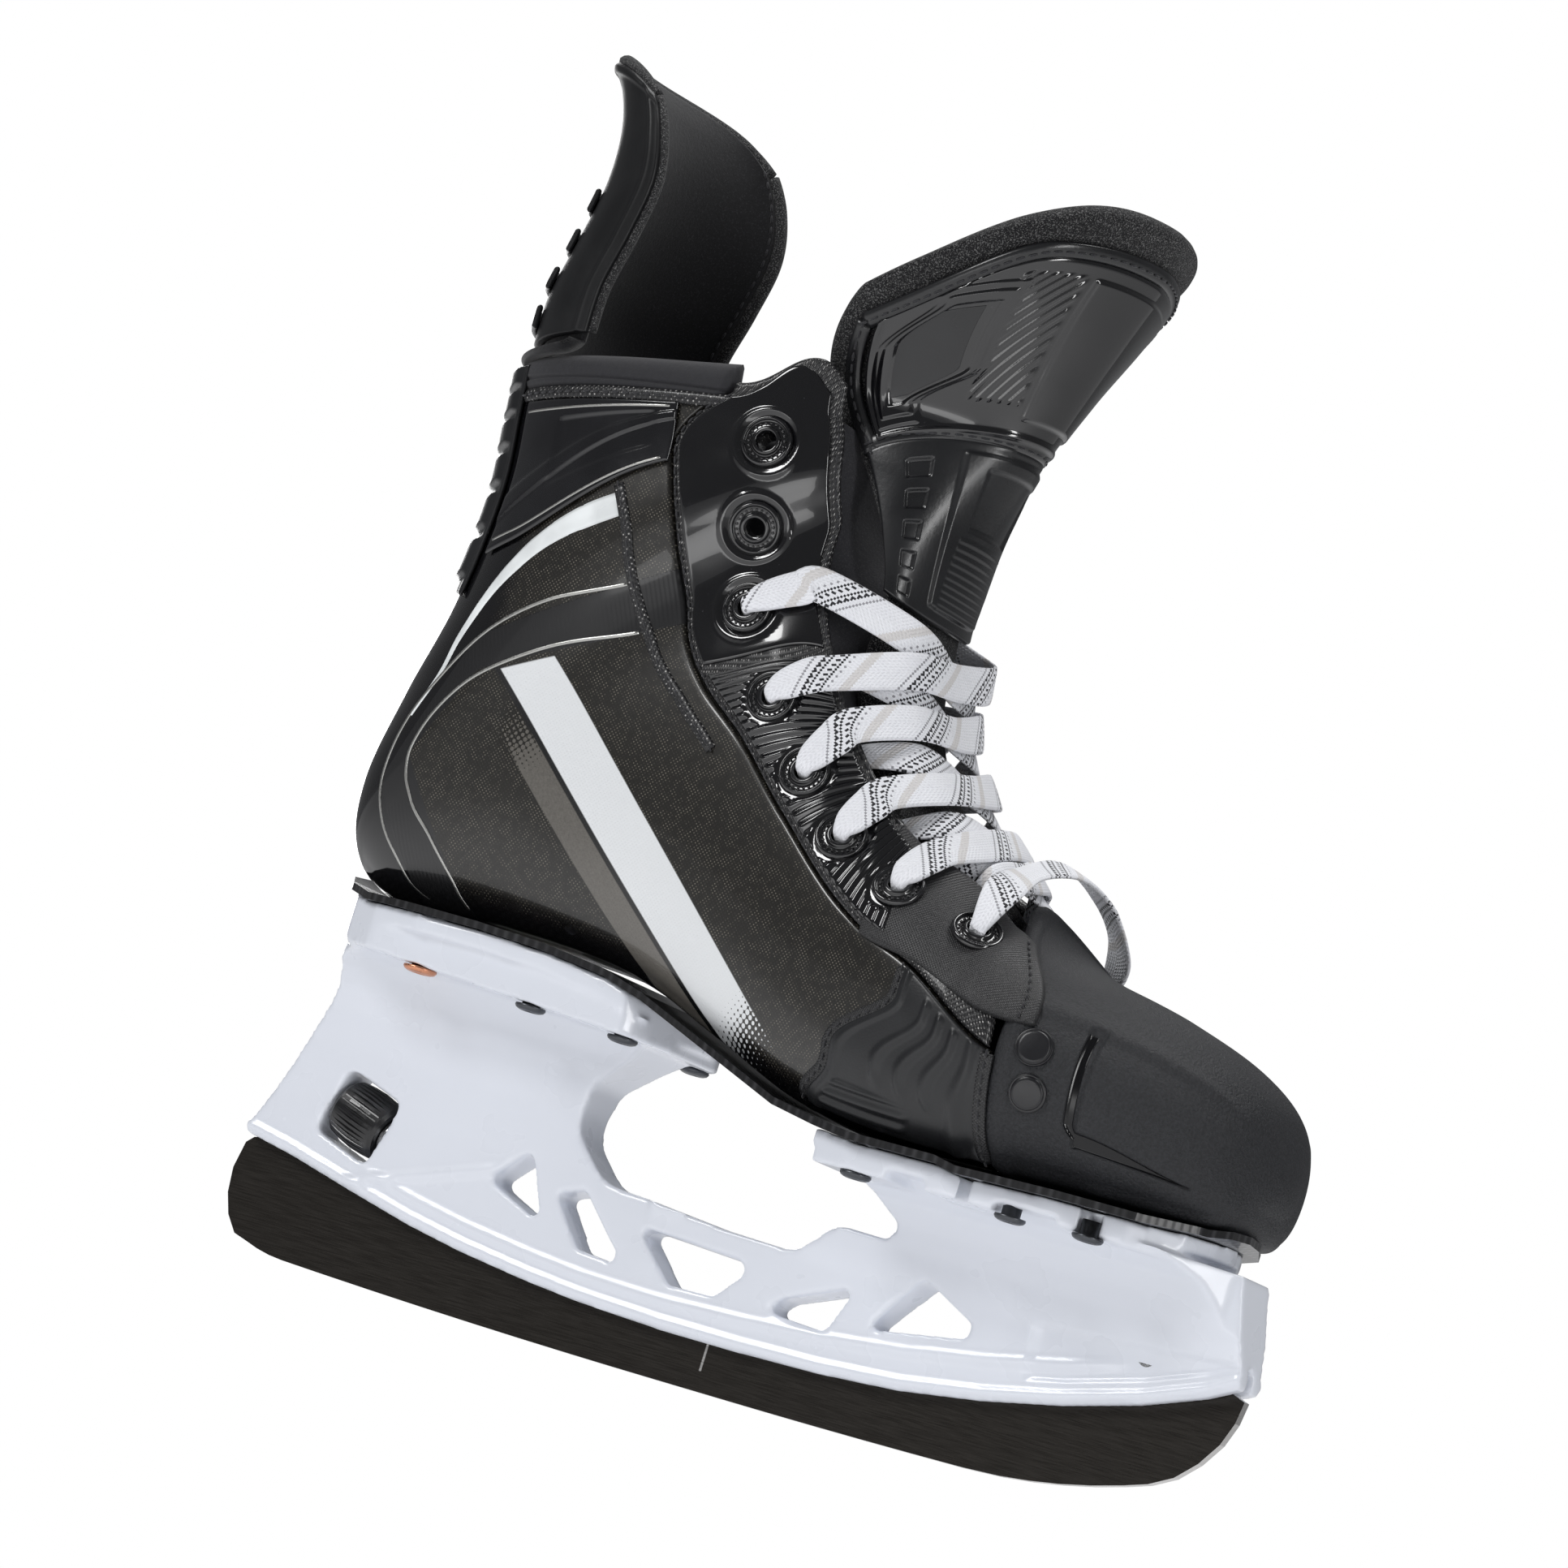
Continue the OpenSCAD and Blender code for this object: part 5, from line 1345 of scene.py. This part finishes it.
def make_facing(label, side):
    def ahead_top(v):
        """How far the facing's top edge rises over the collar's top, across the facing."""
        return 0.7 * np.sin(math.radians(135) * (1 - v)) ** 2

    def backing(u, v):
        s = mix(SHELL_FRONT + 0.03 + 0.42 * (1 - v) ** 2, COLLAR_TOP + ahead_top(v), u)
        return s, mix(t_edge(s), facing_back(s), v)

    def tab(u, v, off):
        f = 1 - v
        s = mix(SHELL_FRONT - 0.28 + 0.5 * f**3, 5.5 + 0.3 * f, u)
        back = facing_width(s) + 1.5 - 11 * (1 - u) ** 1.5
        return skin(s, side * t_back(s, mix(0.6, back, v)), off + 1.5 * ease((4.4 - s) / 0.3))

    def split(v):
        """Section at which the gloss panel ends and the ribbed panel begins."""
        return mix(7.75, 9.2, v)

    def within(s, v):
        """Coordinates on a panel that leaves a margin of the binding bare on both sides."""
        return s, t_back(s, mix(3.0, facing_width(s) - 2.2, v))

    def panel(u, v):
        top = COLLAR_TOP - 0.22 + ahead_top(v) - 0.25 * ease((v - 0.75) / 0.25)
        return within(mix(split(v), top, u), v)

    def ribbed(u, v):
        return within(mix(5.35 - 0.15 * v, split(v) - 0.22, u), v)

    def from_eyelets(coords, u, v):
        s, t = coords(u, v)
        return facing_spots(s, side * t, side)

    def panel_relief(u, v, x, y):
        far = from_eyelets(panel, u, v)
        return 0.5 * hump(far, 8.4, 1.3) - 0.35 * ease((7.4 - far) / 1.2)

    def rib_relief(u, v, x, y):
        far = from_eyelets(ribbed, u, v)
        return 0.75 * comb(y, 2.4) * ease(far - 7.2) + 0.2 * hump(far, 7.6, 0.8)

    def drilled(name, place, count, outer, inner, key, rim, relief=None, *nodes):
        piece = shell(f"facing_{label}_{name}", place, count, outer, inner, key, rim, relief)
        drill(piece, side)
        finish_piece(piece, "boot", "facing_plastic", *nodes)

    drilled("binding", over(skin, backing, side), (150, 40), 1.0, -3.0, "mesh", 1.6, None,
            f"facing_{label}")
    drilled("tab", tab, (70, 60), 1.5, -1.5, "weave", 1.4)
    f = np.linspace(0.08, 0.92, 16)
    s = SHELL_FRONT - 0.14 + 0.5 * f**3
    t = t_back(s, mix(facing_width(s) - 8.5, 0.6, f))
    sewing(f"facing_{label}_tab_thread", "boot", "facing_plastic", skin,
           np.stack([s, side * t], -1), 3.2, (2.6, 1.8, 0.34), "thread", 3)
    drilled("panel", over(skin, panel, side), (150, 70), 1.75, 0.5, "gloss", 0.9, panel_relief)
    drilled("ribs", over(skin, ribbed, side), (260, 50), 1.75, 0.5, "gloss", 0.9, rib_relief)
    s = np.linspace(5.4, 16.6, 40)
    for name, w in (("edge", 1.5), ("back", facing_width(s) - 1.0)):
        sewing(f"facing_{name}_thread_{label}", "boot", "facing_plastic", skin,
               np.stack([s, side * t_back(s, w)], -1), 1.0, (2.8, 1.9, 0.32), "thread", 3)


# Profile of an eyelet from its bore outward, as radius and height over the facing
EYELET = [(2.5, -6.2), (2.5, 2.4), (2.62, 2.75), (2.9, 2.95), (3.3, 2.95), (3.6, 2.7),
          (3.75, 2.2), (4.0, 2.05), (5.3, 2.05), (5.5, 2.2), (5.65, 2.6), (5.95, 2.8),
          (6.3, 2.6), (6.6, 2.1), (6.7, 1.5), (6.4, 1.3), (3.4, 1.3), (3.3, -3.2),
          (4.6, -3.3), (5.0, -3.7), (4.6, -4.2), (3.2, -4.4), (3.0, -6.0), (2.6, -6.3)]
# Small knobs in the groove of an eyelet: their number, distance from its middle and profile
KNOBS, KNOB_AT = 22, 4.62
KNOB = [(0.02, 2.45), (0.25, 2.4), (0.4, 2.2), (0.42, 1.9)]


def make_eyelets(label, side):
    sides = 44
    for name, chosen, node in (("eyelet_rings", range(7), f"eyelets_{label}"),
                               ("top_eyelet_ring", [7], f"top_eyelet_{label}")):
        parts = []
        for k in chosen:
            place, normal = eyelet_at(k, side)
            points, faces = lathe(EYELET, place, normal, sides)
            ring = np.arange(len(EYELET) * sides).reshape(-1, sides)
            parts.append((points, faces + quads(ring[[-1, 0]], wrap=True)))
            x = unit(np.cross(normal, [0.31, 0.9, 0.11]))
            y = np.cross(normal, x)
            for a in turn(KNOBS):
                spot = place + (math.cos(a) * x + math.sin(a) * y) * KNOB_AT
                parts.append(lathe(KNOB, spot, normal, 6))
        piece = make(f"{name}_{label}", *gather(parts), "eyelet")
        finish_piece(piece, "boot", "eyelet_black", node)


# -------------------------------------------------- ankle back, tongue and tendon guard
def make_heel_spine():
    """Stack of moulded steps up the back of the ankle."""
    def coords(u, v):
        return mix(14.25 - 0.35 * (2 * v - 1) ** 2, 16.95, u), mix(-0.21, 0.21, v)

    def relief(u, v, x, y):
        edge = np.abs(2 * v - 1)
        bow = u - 0.06 * edge**2
        steps = sum(1.5 * band(bow, 0.03 + 0.16 * k, 0.13 + 0.16 * k, 0.02) for k in range(6))
        return (steps - 0.4) * ease((0.96 - edge) / 0.08)

    plate("heel_spine_steps", "boot", "badge_plastic", ["heel_spine"], over(skin, coords),
          (130, 60), 1.6, 0.3, "satin", 1.0, relief)


def corner_drop(w):
    """How much lower the top edge of the tongue's moulding lies towards its corners."""
    return 0.1 * ease((np.abs(w) - 0.45) / 0.4)


def make_tongue():
    def felt(u, v):
        return mix(TONGUE_TOE, 1.0, u), 2 * v - 1

    def pad_relief(u, v, x, y):
        h, w = felt(u, v)
        return 0.8 * np.cos(math.pi / 2 * w) * ease((h - 0.85) / 0.1)

    pad = shell("tongue_pad", over(tongue, felt), (150, 90), -2.7, -7.6, "felt", 2.4,
                pad_relief)
    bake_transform(pad, "boot", "tongue", start=(0.010, 0, 0.182), end=(0.008, 0, 0.208))
    finish_piece(pad, "tongue", "felt", "tongue_felt", "tongue_lower")

    def upper(u, v):
        w = mix(-0.86, 0.86, v)
        return mix(0.42 + 0.05 * w * w, 0.88 - corner_drop(w), u), w

    def lean(h):
        """How far the upper outer corner and the lower inner corner of a window are cut."""
        return 0.12 * ease((h - 0.68) / 0.1), 0.2 * ease((0.6 - h) / 0.08)

    def window(h, a, margin):
        """Leaning window with cut corners near each side of the moulding."""
        high, low = lean(h)
        return (band(a, 0.5 + margin * 1.1 + low, 0.8 - margin * 1.1 - high, 0.012)
                * band(h, 0.5 + margin, 0.79 - margin, 0.008))

    def upper_relief(u, v, x, y):
        h, w = upper(u, v)
        a = np.abs(w)
        outer, rim, hollow = (window(h, a, margin) for margin in (-0.022, 0.0, 0.03))
        ribs = 0.45 * comb(a * 52 + 60 * (h - 0.6), 2.2)
        ribs = ribs * band(a, 0.3, 0.5, 0.015) * band(h, 0.53, 0.83, 0.015) * (1 - outer)
        panel = 0.8 * ease((0.27 - a) / 0.02) * band(h, 0.5, 0.83, 0.012)
        lip = 0.7 * hump(a, 0.85, 0.02) + 0.6 * hump(h, 0.455, 0.012)
        return ribs + 0.5 * outer + 0.6 * rim - hollow + panel + lip

    plate("tongue_moulding", "tongue", "tongue_plastic", ["tongue_shell"], over(tongue, upper),
          (190, 250), 0.3, -2.2, "gloss", 1.4, upper_relief)

    def inlay(u, v):
        h = mix(0.545, 0.75, u)
        high, low = lean(h)
        return h, mix(0.78, 0.56, v) - high * (1 - v) + low * v

    for label, side in SIDES.items():
        plate(f"tongue_pane_{label}", "tongue", "tongue_plastic", [], over(tongue, inlay, side),
              (40, 40), 0.55, 0.2, "satin", 0.3)

    def lower(u, v):
        w = mix(-0.93, 0.93, v)
        return mix(0.02, 0.43 + 0.02 * w * w, u), w

    def lower_relief(u, v, x, y):
        h, w = lower(u, v)
        a = np.abs(w)
        middle = 0.9 * ease((0.46 - 0.25 * (0.4 - h) - a) / 0.03) * band(h, 0.06, 0.4, 0.012)
        panel = -0.7 * ease((0.28 + 0.3 * (h - 0.3) - a) / 0.02) * band(h, 0.25, 0.37, 0.01)
        rows = sum(band(h, 0.05 + 0.075 * k, 0.085 + 0.075 * k, 0.008) for k in range(5))
        slots = -1.0 * band(a, 0.6, 0.72, 0.012) * rows
        fine = 0.25 * comb(y, 1.8) * band(h, 0.05, 0.22, 0.01) * ease((0.3 - a) / 0.02)
        return middle + panel + slots + fine

    plate("tongue_lower_plate", "tongue", "tongue_matte", ["tongue_plate"], over(tongue, lower),
          (140, 190), 0.2, -2.2, "satin", 1.0, lower_relief)
    w = np.linspace(-0.9, 0.9, 31)
    h = np.linspace(0.44, 0.79, 16)
    for name, rows in (("top", (0.895 - corner_drop(w), w)), ("middle", (0.435 + 0.03 * w * w, w)),
                       ("left", (h, np.full(16, -0.9))), ("right", (h, np.full(16, 0.9)))):
        rows = np.stack(rows, -1)
        strip(f"tongue_trim_{name}", "tongue", "tongue_matte", tongue, rows, -1.2, (4.6, 2.6),
              "satin", 5)
        sewing(f"tongue_thread_{name}", "tongue", "tongue_matte", tongue, rows, 0.15, (3.2, 2.3),
               "thread", 5)


def make_gusset():
    """Dark inner wall that closes the gap between the tongue and each facing."""
    for label, side in SIDES.items():
        def place(u, v, off):
            s = mix(6.4, 16.7, u)
            edge = skin(s, side * (t_edge(s) - 0.008), -3.4)
            # the tongue's h at the same height, from its flex line at 196 mm to its top
            h = np.clip((edge[..., 2] - 196) / 114, -0.3, 0.6)
            near = tongue(h, side * 0.62, -8.6 - 15 * ease(h / 0.3))
            outward = np.array([0.4, side * 0.6, -0.2])
            return mix(edge, near, v[..., None]) + np.asarray(off)[..., None] * outward

        plate(f"throat_gusset_{label}", "boot", "lining", [], place, (40, 14), 0.4, -0.4, "lining",
              0.4)


def make_guard():
    def relief(u, v, x, y):
        a = np.abs(2 * v - 1)
        rim = 0.7 * hump(a, 0.93, 0.05) + 0.5 * hump(u, 0.96, 0.04)
        spine = 0.9 * hump(a, 0.0, 0.16) * ease((u - 0.5) / 0.1)
        groove = -0.5 * hump(a, 0.3 + 0.1 * u, 0.03)
        return rim + spine + groove

    plate("tendon_guard_shell", "tendon_guard", "guard_plastic", ["guard_shell"],
          over(guard, lambda u, v: (u, mix(1, -1, v))), (120, 150), 0.0, -2.3, "guard", 1.1, relief)
    inner = over(guard, lambda u, v: (mix(-0.04, 0.975, u), mix(0.95, -0.95, v)))
    liner = shell("tendon_guard_velour", inner, (70, 90), -2.5, -5.3, "velour", 1.4)
    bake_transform(liner, "boot", "tendon_guard", start=(-0.1245, 0, 0.238), end=(-0.1245, 0, 0.252))
    finish_piece(liner, "tendon_guard", "velour", "guard_liner")
    for label, side in SIDES.items():
        rows = [[h, side * 0.985] for h in np.linspace(0.02, 0.99, 14)]
        strip(f"guard_edge_felt_{label}", "tendon_guard", "velour", guard, rows, -3.0, (3.6, 3.2),
              "fleck", 5)
        rows = [[h, side * 0.91] for h in np.linspace(0.04, 0.95, 14)]
        sewing(f"guard_thread_{label}", "tendon_guard", "velour", guard, rows, -5.3,
               (3.0, 2.0, 0.35, -0.1), "thread", 5)
    rows = [[0.992, w] for w in np.linspace(-0.97, 0.97, 25)]
    strip("guard_top_felt", "tendon_guard", "velour", guard, rows, -3.0, (3.4, 3.2),
          "fleck", 5)
    for k in range(4):
        rib = over(guard, lambda u, v: (0.06 + 0.12 * k + 0.07 * u, mix(0.45, -0.45, v)))
        plate(f"guard_rib_{k}", "tendon_guard", "guard_plastic", ["guard_ribs"] if k == 0 else [],
              rib, (8, 40), 1.9, 0.3, "satin", 0.9)


# -------------------------------------------------- lace
# Width and thickness of the lace in mm, and the h of its crossings over the tongue
LACE_W, LACE_T = 9.6, 1.5
MIDDLES = [-0.5, -0.43, -0.3, -0.18, -0.075]
# How far each strand has moved along the throat when it leaves the facing
UPS = [0, -0.1, -0.1, -0.15, -0.55, -1.0]
# Bar over the throat at the first pair of eyelets: points and the way its face looks
BAR = [[59.3, -34, 136, 0.3, -0.5, 0.8], [57.6, -20, 142.5, 0, -0.3, 0.95],
       [59, 0, 148, 0.3, 0, 0.95], [62, 17, 144, 0.3, 0.1, 0.95], [64, 29, 135, 0.5, 0.4, 0.75]]


def lace_on(k, side, f, off, width, thick, up=0.0):
    """Row on the boot at f of the way from eyelet k to the throat's edge."""
    s = np.float64(EYELETS[k][0] + up * f)
    t = side * mix(t_back(np.float64(EYELETS[k][0]), EYELETS[k][1]), t_edge(s), f)
    return [*skin(s, t, off), *skin_n(s, t), width, thick]


def lace_mid(h, side, lift):
    """Rows of a crossing at h, lift mm over the tongue, for a strand that starts on a side."""
    rows = []
    for k in (-1, 0, 1):
        u = np.float64(h + 0.03 * k)
        w = np.float64(-k * side * mix(0.5, 0.7, ease(-h / 0.4)))
        low = tongue(u, w, lift + abs(k) * 1.7)
        normal = unit(tongue(u, w, lift + 2.0) - tongue(u, w, lift))
        rows.append([*low, *normal, LACE_W, LACE_T])
    return rows


def out_of_eyelet(k, side):
    """First two rows of a strand that comes up through an eyelet."""
    return [lace_on(k, side, -0.02, -2.5, 3.6, 3.0), lace_on(k, side, 0, 1.2, 3.8, 3.0)]


def lace_out(k, side, up):
    """Strand from eyelet k over the facing to the throat's edge."""
    return [*out_of_eyelet(k, side),
            lace_on(k, side, 0.04, 3.4, 5.0, 3.0, up), lace_on(k, side, 0.2, 4.0, 8.0, 2.2, up),
            lace_on(k, side, 0.55, 3.7, LACE_W, LACE_T, up),
            lace_on(k, side, 0.95, 3.0, LACE_W, LACE_T, up)]


def lace_in(k, side, up):
    """Strand from the throat's edge under the facing and up into eyelet k."""
    return [lace_on(k, side, 0.9, -6, 6, 1.2, up), lace_on(k, side, 0.3, -6.6, 5, 1.6),
            lace_on(k, side, 0.02, -6.6, 3.6, 2.6), lace_on(k, side, 0, -1.5, 3.4, 2.8)]


def strand(name, rows, *nodes):
    fine = resample(np.array(rows, float), 9)
    points = fine[:, :3]
    line = points, unit(fine[:, 3:6]), unit(np.gradient(points, axis=0))
    piece = sweep(name, line, fine[:, 6], fine[:, 7], "lace", 16, 3.4)
    return finish_piece(piece, "boot", "lace", *nodes)


def make_lace():
    for k in range(5):
        ends = [lace_out(k, side, UPS[k]) if k else lace_in(0, side, 0.3)[::-1] for side in (-1, 1)]
        last = k == 4
        over_rows = ends[0] + lace_mid(MIDDLES[k], -1, 5.4 if last else 4.8)
        strand(f"lace_over_{k}", over_rows + lace_in(k + 1, 1, -0.3), *(["lace"] if k == 0 else []))
        rest = lace_out(5, -1, UPS[5])[::-1] if last else lace_in(k + 1, -1, -0.3)
        strand(f"lace_under_{k}", ends[1] + lace_mid(MIDDLES[k], 1, 2.5) + rest)
    near, far = (out_of_eyelet(0, side) + [lace_on(0, side, 0.03, 4.4, 5.0, 2.8)]
                 for side in (-1, 1))
    strand("lace_bar", near + [[*row, LACE_W, LACE_T] for row in BAR] + far[::-1])
    refinish("lace_tips", "tip")


# -------------------------------------------------- build
make_camera()
make_stage()
FINISH = make_finishes()
make_running_gear()
make_quarter()
make_lining()
make_footbed()
make_toe()
for which_side in SIDES.items():
    for make_part in (make_overlay, make_badge, make_facing, make_eyelets):
        make_part(*which_side)
make_heel_spine()
make_tongue()
make_gusset()
make_guard()
make_lace()
